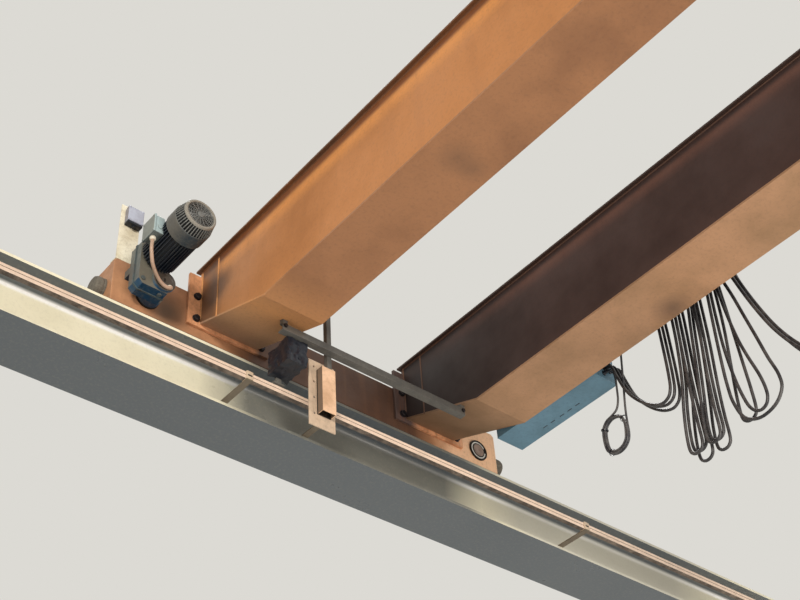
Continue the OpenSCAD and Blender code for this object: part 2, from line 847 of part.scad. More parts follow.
// Flat brackets from the girder web over the track
module festoon_brackets() {
    web_face = girder_2_x + girder_w / 2;
    step = (track_y1 - track_y0 - 2 * hanger_from + hanger_w) / (bracket_count - 1);
    color(DARK_STEEL) for (i = [0 : bracket_count - 1])
        translate([web_face, track_y1 - hanger_from - i * step, track_z1])
            cube([festoon_out + track_s / 2, hanger_w, hanger_t]);
}

first_trolley_y = -1397;
parked = 4;
head_t = 10;
long_loop_reach = 406;
long_loop_y = first_trolley_y - (parked - 1) * trolley_pitch - saddle_r - long_loop_reach;
tow_trolley_y = long_loop_y - long_loop_reach - saddle_r;
yoke_in = 96;

// Trolley with a half-round saddle between two side plates
module cable_trolley(y) {
    outer = saddle_r - cable_d / 2;
    full = yoke_in + 2 * yoke_t;
    translate([track_x, y, 0]) {
        translate([-full / 2, -outer, track_z0 - head_t]) cube([full, 2 * outer, head_t]);
        for (side = [-1, 1])
            translate([side * (yoke_in + yoke_t) / 2 - yoke_t / 2, -outer, saddle_z])
                cube([yoke_t, 2 * outer, saddle_down - head_t]);
        translate([-yoke_in / 2, 0, saddle_z]) rotate([90, 0, 90]) linear_extrude(yoke_in)
            difference() {
                circle(outer);
                circle(outer - saddle_t);
                translate([-outer - 1, -outer - 1]) square([2 * outer + 2, outer + 1]);
            }
    }
}

// Last trolley, where the cables end in a clamp block
module tow_trolley(y) {
    translate([track_x - yoke_in / 2, y, saddle_z]) cube([yoke_in, saddle_r * 2, saddle_down]);
}

module cable_trolleys() {
    color(DARK_STEEL) {
        for (k = [0 : parked - 1]) cable_trolley(first_trolley_y - k * trolley_pitch);
        tow_trolley(tow_trolley_y);
    }
}

// Route of a cable from the cabinet to the first saddle, as Y and Z
lead_in = [
    [-1007, 330], [-1035, 330], [-1062, 304], [-1085, 225], [-1120, 120], [-1165, 45],
    [-1215, -10], [-1265, -45], [-1308, -48], [-1336, -15], [-1348, 60], [-1355, 300]
];
// Where the lead-in sags, it is raised by a quarter of the cable's own lift
lead_sag = [-1355, -1100];

// Parked loops as Y and Z, from one saddle down and up to the next one
loop_1 = [
    [-1433, 380], [-1425, 190], [-1406, 0], [-1378, -150], [-1362, -260], [-1363, -320],
    [-1394, -368], [-1427, -320], [-1429, -240], [-1431, -100], [-1440, 100], [-1453, 350]
];
loop_2 = [
    [-1530, 380], [-1508, 190], [-1490, 20], [-1472, -130], [-1454, -250], [-1454, -316],
    [-1486, -366], [-1519, -316], [-1522, -220], [-1528, -80], [-1545, 160], [-1554, 380]
];
loop_3_wide = [
    [-1634, 380], [-1622, 190], [-1612, 20], [-1606, -150], [-1612, -250], [-1646, -345],
    [-1710, -380], [-1790, -362], [-1833, -310], [-1836, -250], [-1814, -150], [-1790, -20],
    [-1765, 110], [-1738, 250], [-1700, 400], [-1668, 490]
];
loop_3_mid = [
    [-1634, 380], [-1624, 190], [-1620, 20], [-1628, -130], [-1644, -240], [-1662, -312],
    [-1698, -350], [-1734, -338], [-1748, -285], [-1740, -206], [-1712, -90], [-1694, 10],
    [-1674, 190], [-1663, 400]
];
loop_3_slim = [
    [-1636, 380], [-1630, 190], [-1616, 20], [-1598, -130], [-1590, -200], [-1596, -268],
    [-1632, -312], [-1667, -268], [-1672, -180], [-1668, -60], [-1664, 190], [-1660, 400]
];
loops = [
    [loop_1, loop_2, loop_3_wide], [loop_1, loop_2, loop_3_mid], [loop_1, loop_2, loop_3_slim]
];
// Half of the long loop: distance from its middle and height
half_long_loop = [[397, 400], [371, 280], [318, 90], [268, -50], [204, -175], [110, -300]];
long_loop_low = -350;

// Y and Z over a saddle that stands at y
function over_saddle(y) = [for (a = [0, 60, 120, 180])
    [y + saddle_r * cos(a), saddle_z + saddle_r * sin(a)]];

// Y and Z of the long loop, raised by up
function long_loop(up) = concat(
    [for (p = half_long_loop) [long_loop_y + p[0], p[1] + up]], [[long_loop_y, long_loop_low + up]],
    [for (p = reversed(half_long_loop)) [long_loop_y - p[0], p[1] + up]],
    [[long_loop_y - long_loop_reach, saddle_z]]
);

// Places the points of a route at x, raised by up
function at_x(x, list, up = 0) = [for (p = list) [x, p[0], p[1] + up]];

// Whole route of cable n, with its loops raised by up
function cable_route(n, x, up) = concat(
    [for (p = lead_in)
        [x, p[0], p[1] + (p[0] < lead_sag[1] && p[0] > lead_sag[0] ? up / 4 : 0)]],
    [for (k = [0 : parked - 1]) each concat(
        at_x(x, over_saddle(first_trolley_y - k * trolley_pitch)),
        k < parked - 1 ? at_x(x, loops[n][k], up) : []
    )],
    at_x(x, long_loop(up))
);

cable_offset = [-30, 0, 30];
cable_up = [0, 24, -10];

module festoon_cable(n) {
    color(CABLE_GREY)
        tube_along(cable_route(n, track_x + cable_offset[n], cable_up[n]), cable_d, 8);
}

spare_d = 10;
coil_x = track_x - 15;
coil_y = -1008;
coil_z = -36;
coil_half = 30;
coil_r = 70;
coil_t = 2 * spare_d + 1;

// Long round shape with the radius r
module coil_shape(r) {
    hull() for (side = [-1, 1]) translate([0, side * coil_half]) circle(r);
}

// Spare cable in a coil, between the cabinet's end and the festoon track
module cable_coil() {
    color(CABLE_GREY) {
        translate([coil_x - coil_t / 2, coil_y, coil_z]) rotate([90, 0, 90])
            linear_extrude(coil_t) difference() {
                coil_shape(coil_r);
                coil_shape(coil_r - coil_t);
            }
        tube_along(at_x(coil_x, [
            [-1007.5, 300], [-1030, 298], [-1052, 284], [-1063, 256], [-1060, 170],
            [-1053, 110], [-1042, 80], [-1014, coil_z + coil_half + coil_r - 8]
        ]), spare_d, 8);
        tube_along(at_x(coil_x, [
            [coil_y - coil_r + 8, -20], [-1075, 20], [-1083, 74], [-1103, 200],
            [-1122, 348], [-1140, 500], [-1160, track_z0 - 0.8]
        ]), spare_d, 8);
    }
}

runway_beam();  // runway_beam_near
far_side() runway_beam();  // runway_beam_far
rail();  // rail_near
far_side() rail();  // rail_far
conductor_rail();
conductor_brackets();
carriage();  // carriage_near
far_side() carriage();  // carriage_far
buffers();
bearing_rings();
girder_webs(girder_1_x);  // girder_1_webs
girder_top_flange(girder_1_x);  // girder_1_top_flange
girder_soffit(girder_1_x);  // girder_1_soffit
girder_webs(girder_2_x);  // girder_2_webs
girder_top_flange(girder_2_x);  // girder_2_top_flange
girder_soffit(girder_2_x);  // girder_2_soffit
girder_end_plates();
girder_bolts();
crab_rails();
gear_unit();  // gear_unit_near
far_side() gear_unit();  // gear_unit_far
drive_motor();  // drive_motor_near
far_side() drive_motor();  // drive_motor_far
fan_covers();
terminal_boxes();
motor_conduits();
sensor_plate();
sensor_housing();
collector_bar();
collector_post();
collector_plate();
towing_tube();
collector_head();
control_cabinet();
cabinet_brackets();
festoon_track();
festoon_brackets();
cable_trolleys();
festoon_cable(0);  // festoon_cable_1
festoon_cable(1);  // festoon_cable_2
festoon_cable(2);  // festoon_cable_3
cable_coil();
wheel_near_drive();
wheel_near_idle();
wheel_far_drive();
wheel_far_idle();
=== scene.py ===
# %% [markdown]
# # A double-girder bridge crane, seen from below
# The crane is a real machine: two box girders ride on end carriages, and the
# carriages roll on runway beams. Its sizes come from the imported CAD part, so
# this lesson only dresses it: paint, dust, cables and the small machine parts
# that are too fine for the CAD. Everything is in metres, in the CAD's frame.

# %% Load the crane
import math

import bmesh
import bpy
from mathutils import Matrix, Vector, noise


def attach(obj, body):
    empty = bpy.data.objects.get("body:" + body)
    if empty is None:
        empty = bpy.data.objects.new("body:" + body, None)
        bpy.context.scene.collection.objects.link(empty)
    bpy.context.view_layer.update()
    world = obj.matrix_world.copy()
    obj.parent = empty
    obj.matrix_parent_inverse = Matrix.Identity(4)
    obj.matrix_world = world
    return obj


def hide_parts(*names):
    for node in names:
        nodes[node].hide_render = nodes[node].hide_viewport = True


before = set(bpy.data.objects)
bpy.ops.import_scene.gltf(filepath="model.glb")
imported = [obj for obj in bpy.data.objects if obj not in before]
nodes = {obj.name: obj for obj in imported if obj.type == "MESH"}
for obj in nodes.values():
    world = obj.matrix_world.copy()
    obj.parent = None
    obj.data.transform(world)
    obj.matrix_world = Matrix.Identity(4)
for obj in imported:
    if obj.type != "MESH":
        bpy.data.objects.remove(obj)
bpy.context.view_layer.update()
scene = bpy.context.scene

# %% [markdown]
# ## The camera
# The picture is taken from the shop floor, looking up past the runway. Parallel
# edges of runway and girders meet in two vanishing points, and those give the
# camera's turn and its lens. The three rows below are the directions that the
# picture's right side, its top and the camera's back point to.

# %% Place the camera
camera_right = Vector((0.76523, -0.6414, -0.05507))
camera_up = Vector((-0.39712, -0.53764, 0.7438))
camera_back = Vector((-0.50668, -0.54731, -0.66613))
camera_place = Vector((-2.9345, -3.837, -3.348))

camera_data = bpy.data.cameras.new("shop_floor_camera")
camera_data.sensor_width = 36.0
camera_data.lens = 59.1
camera_data.clip_end = 200.0
camera = bpy.data.objects.new("shop_floor_camera", camera_data)
scene.collection.objects.link(camera)
turn = Matrix((camera_right, camera_up, camera_back)).transposed()
camera.matrix_world = Matrix.Translation(camera_place) @ turn.to_4x4()
scene.camera = camera
print("camera looks up by", round(math.degrees(math.asin(-camera_back.z)), 1), "degrees")

# %% [markdown]
# ## The festoon cables
# Three round control cables run from the cabinet along the girder. They hang in
# loops between small trolleys, so that they can fold up when the crab comes
# near. A cable starts as a curve with a round bevel: its line is the centre of
# the cable, and its length is easily measured. Bezier handles swing wide at
# tight bends, so a smooth line is worked out through the points first, and the
# curve gets many short straight steps along it. A curve's bounding box is wider
# than its tube, so the finished tube is turned into a mesh.

# %% A smooth line through the points of a route
def smooth_line(route, step):
    def between(p, q, share):
        return p + (q - p) * share

    points = [Vector(p) for p in route]
    points = [points[0] * 2 - points[1]] + points + [points[-1] * 2 - points[-2]]
    line = [points[1]]
    for a, b, c, d in zip(points, points[1:], points[2:], points[3:]):
        t0 = 0.0
        t1 = t0 + math.sqrt((b - a).length)
        t2 = t1 + math.sqrt((c - b).length)
        t3 = t2 + math.sqrt((d - c).length)
        count = max(1, math.ceil((c - b).length / step))
        for i in range(1, count + 1):
            t = t1 + (t2 - t1) * i / count
            ab = between(a, b, (t - t0) / (t1 - t0))
            bc = between(b, c, (t - t1) / (t2 - t1))
            cd = between(c, d, (t - t2) / (t3 - t2))
            abc = between(ab, bc, (t - t0) / (t2 - t0))
            bcd = between(bc, cd, (t - t1) / (t3 - t1))
            line.append(between(abc, bcd, (t - t1) / (t2 - t1)))
    return line


# %% Draw cables along smooth lines
def to_scene(name, work, sharp_degrees):
    bmesh.ops.recalc_face_normals(work, faces=work.faces)
    mesh = bpy.data.meshes.new(name)
    work.to_mesh(mesh)
    work.free()
    mesh.shade_smooth()
    mesh.set_sharp_from_angle(angle=math.radians(sharp_degrees))
    made = bpy.data.objects.new(name, mesh)
    scene.collection.objects.link(made)
    return made


def draw_cables(name, lines, diameter):
    curve = bpy.data.curves.new("passing_curve", "CURVE")
    curve.dimensions = "3D"
    curve.bevel_depth = diameter / 2
    curve.bevel_resolution = 3
    curve.use_fill_caps = True
    for line in lines:
        spline = curve.splines.new("POLY")
        spline.points.add(len(line) - 1)
        spline.use_smooth = True
        for point, place in zip(spline.points, line):
            point.co = (*place, 1.0)
    drawn = bpy.data.objects.new("passing_curve", curve)
    tube = bmesh.new()
    tube.from_mesh(bpy.data.meshes.new_from_object(drawn))
    bmesh.ops.remove_doubles(tube, verts=tube.verts, dist=1e-6)
    bpy.data.objects.remove(drawn)
    return to_scene(name, tube, sharp_degrees=60)


def line_length(line):
    return sum((b - a).length for a, b in zip(line, line[1:]))


# %% The way of the cables, as Y and Z in metres
track_x = 0.9155
saddle_z = 0.55
saddle_radius = 0.04
first_trolley_y = -1.397
trolley_pitch = 0.101
parked_trolleys = 4
long_loop_reach = 0.406
slack_start_y, slack_end_y = -1.1, -1.355
last_trolley_y = first_trolley_y - (parked_trolleys - 1) * trolley_pitch
long_loop_y = last_trolley_y - saddle_radius - long_loop_reach


def arc(y, z, radius, degrees):
    turns = [math.radians(a) for a in degrees]
    return [(y + radius * math.cos(a), z + radius * math.sin(a)) for a in turns]


under = (0, -36, -72, -108, -144, -180)
lead_in = [
    (-1.007, 0.33), (-1.022, 0.33), (-1.04, 0.325), (-1.057, 0.311), (-1.068, 0.288),
    (-1.085, 0.225), (-1.12, 0.12), (-1.165, 0.045), (-1.215, -0.01), (-1.258, -0.04),
    (-1.296, -0.05), (-1.326, -0.035), (-1.341, -0.002), (-1.348, 0.06), (-1.355, 0.3),
]
loop_1 = [
    (-1.433, 0.38), (-1.425, 0.19), (-1.406, 0.0), (-1.378, -0.15), (-1.364, -0.26),
    *arc(-1.3955, -0.333, 0.033, under),
    (-1.43, -0.24), (-1.432, -0.1), (-1.44, 0.1), (-1.453, 0.35),
]
loop_2 = [
    (-1.53, 0.38), (-1.508, 0.19), (-1.49, 0.02), (-1.472, -0.13), (-1.456, -0.25),
    *arc(-1.487, -0.331, 0.033, under),
    (-1.522, -0.22), (-1.528, -0.08), (-1.545, 0.16), (-1.554, 0.38),
]
loop_3_wide = [
    (-1.634, 0.38), (-1.622, 0.19), (-1.612, 0.02), (-1.606, -0.15),
    (-1.612, -0.25), (-1.646, -0.345), (-1.71, -0.38), (-1.79, -0.362),
    (-1.833, -0.31), (-1.836, -0.25), (-1.814, -0.15), (-1.79, -0.02),
    (-1.765, 0.11), (-1.738, 0.25), (-1.7, 0.4), (-1.668, 0.49),
]
loop_3_mid = [
    (-1.634, 0.38), (-1.624, 0.19), (-1.62, 0.02), (-1.628, -0.13), (-1.642, -0.24),
    (-1.659, -0.308), (-1.679, -0.339), (-1.706, -0.351), (-1.733, -0.34), (-1.747, -0.312),
    (-1.749, -0.27), (-1.74, -0.2), (-1.714, -0.09), (-1.694, 0.01),
    (-1.674, 0.19), (-1.663, 0.4),
]
loop_3_slim = [
    (-1.636, 0.38), (-1.63, 0.19), (-1.616, 0.02), (-1.602, -0.13), (-1.597, -0.2),
    *arc(-1.632, -0.274, 0.0355, under),
    (-1.67, -0.18), (-1.668, -0.06), (-1.664, 0.19), (-1.66, 0.4),
]
half_long_loop = [
    (0.397, 0.4), (0.371, 0.28), (0.318, 0.09), (0.268, -0.05), (0.204, -0.175), (0.11, -0.3),
]
long_loop_low = -0.35


def over_saddle(y):
    return arc(y, saddle_z, saddle_radius, (0, 30, 60, 90, 120, 150, 180))


def festoon_route(x, lift, loops):
    route = []
    for y, z in lead_in:
        slack = slack_end_y < y < slack_start_y
        route.append((x, y, z + (lift / 4 if slack else 0.0)))
    for k in range(parked_trolleys):
        route += [(x, y, z) for y, z in over_saddle(first_trolley_y - k * trolley_pitch)]
        if k < parked_trolleys - 1:
            route += [(x, y, z + lift) for y, z in loops[k]]
    route += [(x, long_loop_y + s, z + lift) for s, z in half_long_loop]
    route += [(x, long_loop_y, long_loop_low + lift)]
    route += [(x, long_loop_y - s, z + lift) for s, z in reversed(half_long_loop)]
    return route + [(x, long_loop_y - long_loop_reach, saddle_z)]


# %% Hang the three festoon cables
cable_diameter = 0.014
festoon_cables = []
cable_sets = [
    (-0.03, 0.0, [loop_1, loop_2, loop_3_wide]),
    (0.0, 0.024, [loop_1, loop_2, loop_3_mid]),
    (0.03, -0.01, [loop_1, loop_2, loop_3_slim]),
]
for number, (aside, lift, loops) in enumerate(cable_sets, 1):
    line = smooth_line(festoon_route(track_x + aside, lift, loops), step=0.012)
    cable = draw_cables(f"festoon_cable_{number}_jacket", [line], cable_diameter)
    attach(cable, "bridge")
    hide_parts(f"festoon_cable_{number}")
    festoon_cables.append(cable)
    print(cable.name, "is", round(line_length(line), 2), "m long")

# %% [markdown]
# ## The spare cable
# Spare cable is wound into a small long coil that hangs beside the cabinet's
# end. It is one cable: it leaves the cabinet, comes down to the top of the
# coil, makes a turn outside and one inside, steps over to the second layer,
# makes a turn inside and one outside, and climbs to the festoon track. Each
# turn lies a cable's width from the last, so no turn lies in another.

# %% Wind the coil
spare_diameter = 0.01
coil_y, coil_high, coil_low = -1.008, -0.006, -0.066
outer_bend, inner_bend = 0.065, 0.0545
strand_x, layer_1, layer_2 = 0.9005, 0.89525, 0.90575


def coil_point(x, bend, degrees):
    centre_z = coil_high if degrees % 360 < 180.5 else coil_low
    a = math.radians(degrees)
    return (x, coil_y + bend * math.cos(a), centre_z + bend * math.sin(a))


def coil_turn(x, bend):
    over = [coil_point(x, bend, a) for a in (90, 60, 30, 0)]
    return over + [coil_point(x, bend, a) for a in (-1, -30, -60, -90, -120, -150, -179)]


middle_bend = (outer_bend + inner_bend) / 2
coil_route = [
    (strand_x, -1.0075, 0.3), (strand_x, -1.03, 0.298), (strand_x, -1.052, 0.284),
    (strand_x, -1.063, 0.256), (strand_x, -1.06, 0.17), (0.898, -1.054, 0.11),
    (layer_1, -1.039, 0.073),
]
coil_route += coil_turn(layer_1, outer_bend)
coil_route += [coil_point(layer_1, middle_bend, 180), coil_point(layer_1, inner_bend, 130)]
coil_route += coil_turn(layer_1, inner_bend)
coil_route += [coil_point(strand_x, inner_bend, 180), coil_point(layer_2, inner_bend, 130)]
coil_route += coil_turn(layer_2, inner_bend)
coil_route += [coil_point(layer_2, inner_bend, 180), coil_point(layer_2, middle_bend, 130)]
coil_route += coil_turn(layer_2, outer_bend)
coil_route += [
    (layer_2, -1.0745, -0.03), (layer_2, -1.0765, 0.02), (0.903, -1.0835, 0.074),
    (strand_x, -1.103, 0.2), (strand_x, -1.122, 0.348), (strand_x, -1.14, 0.5),
    (strand_x, -1.16, 0.6392),
]
coil_line = smooth_line(coil_route, step=0.008)
spare_cable = draw_cables("spare_cable_coil", [coil_line], spare_diameter)
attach(spare_cable, "bridge")
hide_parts("cable_coil")
print("the spare cable is", round(line_length(coil_line), 2), "m long")

# %% [markdown]
# ## Tools for machine parts
# Machine parts are mostly plates, turned rings and hexagons. Each starts from
# one bmesh operator: a cube that is scaled and bevelled, a profile that is spun,
# or a six-sided cone. A profile that starts away from the axis is closed first,
# so it makes a ring. Turned parts are drawn upright and then tipped to a side.
# Front and back are meant as in the front view, which looks along +Y. The parts
# are then put together in one mesh. The crane is alike at both runways, so a
# mirrored copy makes the far one's parts.

# %% Blocks, turned parts and hexagons
def cube(low, high):
    low, high = Vector(low), Vector(high)
    part = bmesh.new()
    bmesh.ops.create_cube(part, size=1.0)
    bmesh.ops.scale(part, vec=high - low, verts=part.verts)
    bmesh.ops.translate(part, vec=(low + high) / 2, verts=part.verts)
    return part


def block(low, high, edge=0.002, rounds=2):
    part = cube(low, high)
    bmesh.ops.bevel(
        part, geom=part.edges[:], offset=edge, offset_type="OFFSET",
        affect="EDGES", segments=rounds, profile=0.5, material=-1,
    )
    return part


def turned(profile, steps=32):
    part = bmesh.new()
    points = [part.verts.new((radius, 0.0, along)) for along, radius in profile]
    pairs = list(zip(points, points[1:]))
    if profile[0][1] > 0:
        pairs.append((points[-1], points[0]))
    edges = [part.edges.new(pair) for pair in pairs]
    bmesh.ops.spin(
        part, geom=points + edges, cent=(0, 0, 0), axis=(0, 0, 1),
        angle=math.tau, steps=steps, use_merge=True,
    )
    bmesh.ops.remove_doubles(part, verts=part.verts, dist=1e-6)
    return part


def hexagon(radius, height, edge):
    part = bmesh.new()
    bmesh.ops.create_cone(
        part, cap_ends=True, segments=6, radius1=radius, radius2=radius, depth=height,
    )
    bmesh.ops.translate(part, vec=(0, 0, height / 2), verts=part.verts)
    top = [e for e in part.edges if all(v.co.z > height - 1e-6 for v in e.verts)]
    bmesh.ops.bevel(
        part, geom=top, offset=edge, offset_type="OFFSET",
        affect="EDGES", segments=1, profile=0.5, material=-1,
    )
    return part


# %% Put parts together
span = 10.0
to_front = Matrix.Rotation(math.radians(90), 4, "X")
to_back = Matrix.Rotation(math.radians(-90), 4, "X")
to_left = Matrix.Rotation(math.radians(-90), 4, "Y")
to_right = Matrix.Rotation(math.radians(90), 4, "Y")
downwards = Matrix.Rotation(math.radians(180), 4, "X")
upwards = Matrix.Identity(4)


def facing(x, y, z):
    return Vector((x, y, z)).to_track_quat("Z", "X").to_matrix().to_4x4()


def put(work, part, turn=upwards, place=(0, 0, 0)):
    copy = part.copy()
    bmesh.ops.transform(copy, matrix=Matrix.Translation(place) @ turn, verts=copy.verts)
    passing = bpy.data.meshes.new("passing")
    copy.to_mesh(passing)
    copy.free()
    work.from_mesh(passing)
    bpy.data.meshes.remove(passing)


def add_far_copy(work):
    across = Matrix.Translation((0, -span, 0)) @ Matrix.Diagonal((1, -1, 1, 1))
    everything = work.verts[:] + work.edges[:] + work.faces[:]
    copied = bmesh.ops.duplicate(work, geom=everything)["geom"]
    verts = [item for item in copied if isinstance(item, bmesh.types.BMVert)]
    bmesh.ops.transform(work, matrix=across, verts=verts)


def make_piece(
    name, parts, both_ends=False, body="bridge", replaced=(), once=(), sharp_degrees=32,
):
    work = bmesh.new()
    for part in parts:
        put(work, *part)
    if both_ends:
        add_far_copy(work)
    for part in once:
        put(work, *part)
    piece = to_scene(name, work, sharp_degrees)
    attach(piece, body)
    if replaced:
        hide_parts(*replaced)
    print(name, "has", len(piece.data.polygons), "faces")
    return piece


# %% [markdown]
# ## The fan covers of the drive motors
# A fan at the motor's back blows air along the fins. Its cover is a drawn steel
# cap: a smooth sleeve, then a slotted cone where the air is drawn in between
# thin ribs, and a narrow end ring with a wire grille. The sleeve and ring are
# spun from their profiles. One rib is a bent block that is then spun as copies,
# and a dark drum inside them shows between the ribs.

# %% Sleeve and end ring
fan_place = (-0.9655, -0.427, 0.5533)
sleeve = [
    (0.0, 0.0865), (0.0, 0.0895), (0.064, 0.0895), (0.0675, 0.089),
    (0.069, 0.0872), (0.069, 0.085), (0.064, 0.0865),
]
end_ring = [
    (0.112, 0.0735), (0.115, 0.0765), (0.12, 0.0755), (0.1238, 0.073), (0.125, 0.07),
    (0.125, 0.0655), (0.1238, 0.0635), (0.1205, 0.063), (0.1165, 0.063), (0.1165, 0.069),
]
shells = [turned(profile, steps=64) for profile in (sleeve, end_ring)]
make_piece(
    "fan_cover_sleeves", [(shell, to_front, fan_place) for shell in shells],
    both_ends=True, replaced=["fan_covers"],
)

# %% Ribs and grille
def spun_copies(part, count):
    bmesh.ops.spin(
        part, geom=part.verts[:] + part.edges[:] + part.faces[:], cent=(0, 0, 0), axis=(0, 0, 1),
        angle=math.tau * (count - 1) / count, steps=count - 1, use_duplicate=True,
    )
    return part


rib = block((0.079, -0.0019, 0.067), (0.0885, 0.0019, 0.116), edge=0.0008, rounds=1)
slim_end = [v for v in rib.verts if v.co.z > 0.09]
bmesh.ops.translate(rib, vec=(-0.0125, 0, 0), verts=slim_end)
spoke = block((0.008, -0.0012, 0.1185), (0.064, 0.0012, 0.1205), edge=0.0005, rounds=1)
grille = [spun_copies(rib, 40), spun_copies(spoke, 16)]
wire_z, wire_radius = 0.12, 0.0014
for radius in (0.022, 0.03, 0.038, 0.046, 0.054, 0.06):
    wire = [
        (wire_z, radius + wire_radius), (wire_z + wire_radius, radius),
        (wire_z, radius - wire_radius), (wire_z - wire_radius, radius),
    ]
    grille.append(turned(wire, steps=40))
star = [(0.117, 0.0), (0.117, 0.0155), (0.122, 0.0155), (0.1238, 0.0115), (0.1238, 0.0)]
grille.append(turned(star, steps=10))
make_piece(
    "fan_cover_ribs", [(part, to_front, fan_place) for part in grille],
    both_ends=True,
)

# %% The dark drum behind the ribs
drum = [(0.002, 0.0), (0.002, 0.085), (0.064, 0.0835), (0.113, 0.07), (0.113, 0.0)]
make_piece(
    "fan_cover_inside", [(turned(drum, steps=48), to_front, fan_place)],
    both_ends=True,
)

# %% [markdown]
# ## Terminal boxes and motor conduits
# The terminal box is a small casting with a lid. Seen from below, its gland and
# the pale conduit under it are what catches the light. The conduit is a bent
# tube, so it is drawn as the cables are, but it is fixed at both ends and not a
# free cable. Its nut at the box and its end fitting at the gear unit are turned
# parts.

# %% Terminal boxes
box_body = block((-1.079, -0.384, 0.524), (-1.0365, -0.297, 0.6165), edge=0.004, rounds=3)
box_lid = block((-1.0885, -0.388, 0.5203), (-1.0775, -0.293, 0.6203), edge=0.0035, rounds=3)
lid_screw = turned(
    [(0.0, 0.0), (0.0, 0.0055), (0.0015, 0.0055), (0.0025, 0.0035), (0.0025, 0.0)], steps=12,
)
lid_screws = [
    (lid_screw, to_left, (-1.088, y, z)) for y in (-0.38, -0.301) for z in (0.5285, 0.612)
]
blank_plug = hexagon(0.011, 0.004, 0.001)
make_piece(
    "terminal_box_castings",
    [[box_body], [box_lid], *lid_screws, (blank_plug, to_front, (-1.057, -0.3835, 0.556))],
    both_ends=True, replaced=["terminal_boxes"],
)

# %% Conduits
conduit_diameter = 0.016
conduit_route = [
    (-1.066, -0.345, 0.52), (-1.067, -0.345, 0.49), (-1.066, -0.343, 0.462),
    (-1.06, -0.338, 0.437), (-1.042, -0.318, 0.414), (-1.015, -0.293, 0.404),
    (-0.986, -0.27, 0.399), (-0.961, -0.255, 0.395), (-0.938, -0.247, 0.393),
    (-0.917, -0.243, 0.396), (-0.905, -0.2414, 0.402), (-0.903, -0.2385, 0.41),
]
far_route = [(x, -span - y, z) for x, y, z in conduit_route]
conduit_lines = [smooth_line(route, step=0.008) for route in (conduit_route, far_route)]
conduits = draw_cables("motor_conduit_tubes", conduit_lines, conduit_diameter)
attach(conduits, "bridge")
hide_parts("motor_conduits")

conduit_bore = conduit_diameter / 2 + 0.0001
nut = [
    (0.0, conduit_bore), (0.0, 0.0125), (0.0025, 0.0136), (0.01, 0.0136), (0.015, 0.012),
    (0.0165, conduit_bore),
]
end_fitting = [
    (0.0, conduit_bore), (0.0, 0.0125), (0.006, 0.0125), (0.0085, 0.0108), (0.0085, conduit_bore),
]
make_piece(
    "conduit_nuts",
    [
        (turned(nut, steps=24), downwards, (-1.066, -0.345, 0.5235)),
        (turned(end_fitting, steps=20), facing(0.0, -0.6, -0.8), (-0.903, -0.229, 0.414)),
    ],
    both_ends=True,
)
print("each conduit is", round(line_length(conduit_lines[0]), 2), "m long")

# %% [markdown]
# ## Gear units
# The housing is CAD. What it still needs are the flat cap of the output shaft
# with a slot across its middle, the plugs for oil and the joint between the two
# halves of the casting, a thin raised seam all round it.

# %% Output caps, plugs and joint
drive_x, idle_x, axle_z = -0.9295, 0.9855, 0.4403
cap = [
    (0.0, 0.0), (0.0, 0.053), (0.0015, 0.053), (0.003, 0.051), (0.003, 0.04),
    (0.0012, 0.038), (0.0012, 0.015), (0.003, 0.013), (0.003, 0.0),
]
oil_plug = hexagon(0.0105, 0.007, 0.0015)
joint_left, joint_right, joint_low, joint_high = -1.0445, -0.9045, 0.3853, 0.6353
joint_y, joint_width, joint_corner = -0.17, 0.008, 0.02
outline = [
    (joint_left + joint_corner, joint_low), (joint_right, joint_low),
    (joint_right, joint_high - joint_corner), (joint_right - joint_corner, joint_high),
    (joint_left + joint_corner, joint_high), (joint_left, joint_high - joint_corner),
    (joint_left, joint_low + joint_corner),
]
joint = bmesh.new()
seam = joint.faces.new([joint.verts.new((x, joint_y, z)) for x, z in outline])
grown = bmesh.ops.extrude_face_region(joint, geom=[seam])["geom"]
grown_verts = [item for item in grown if isinstance(item, bmesh.types.BMVert)]
bmesh.ops.translate(joint, vec=(0, -joint_width, 0), verts=grown_verts)
centre = Vector((
    (joint_left + joint_right) / 2, joint_y - joint_width / 2, (joint_low + joint_high) / 2,
))
proud_of_casting = Vector((1.055, 1.0, 1.03))
bmesh.ops.translate(joint, vec=-centre, verts=joint.verts)
bmesh.ops.scale(joint, vec=proud_of_casting, verts=joint.verts)
bmesh.ops.translate(joint, vec=centre, verts=joint.verts)
make_piece(
    "gear_unit_details",
    [
        (turned(cap, steps=48), to_front, (drive_x, -0.2295, axle_z)),
        (oil_plug, to_front, (-1.025, -0.217, 0.412)),
        (oil_plug, downwards, (-0.93, -0.195, 0.3855)),
        [joint],
    ],
    both_ends=True,
)

# %% The slot in the cap
slot_plate = block(
    (drive_x - 0.0035, -0.2333, axle_z - 0.01), (drive_x + 0.0035, -0.232, axle_z + 0.01),
    edge=0.0005, rounds=1,
)
make_piece("cap_slots", [[slot_plate]], both_ends=True)

# %% [markdown]
# ## The limit switch
# A switch housing sits high on the sensor plate: a pale cover over a dark base
# with its cable entry below. Blocks with rounded edges are enough, as long as
# the cover stands a little proud of the back part.

# %% Switch housing
switch_front = block((-1.0775, -0.125, 0.8065), (-0.9995, -0.102, 0.8908), edge=0.0035, rounds=3)
switch_back = block((-1.0755, -0.103, 0.8085), (-1.0015, -0.09, 0.8888), edge=0.001)
cover_screws = [
    (lid_screw, to_front, (x, -0.1245, z)) for x in (-1.0715, -1.0055) for z in (0.8125, 0.8845)
]
make_piece(
    "switch_cover", [[switch_front], [switch_back], *cover_screws],
    replaced=["sensor_housing"],
)
cable_entry = turned([(0.0, 0.0), (0.0, 0.009), (0.008, 0.0085), (0.008, 0.0)], steps=16)
make_piece(
    "switch_base",
    [
        [block((-1.076, -0.122, 0.7938), (-1.001, -0.0905, 0.8075), edge=0.003)],
        (cable_entry, downwards, (-1.038, -0.106, 0.7945)),
    ],
)

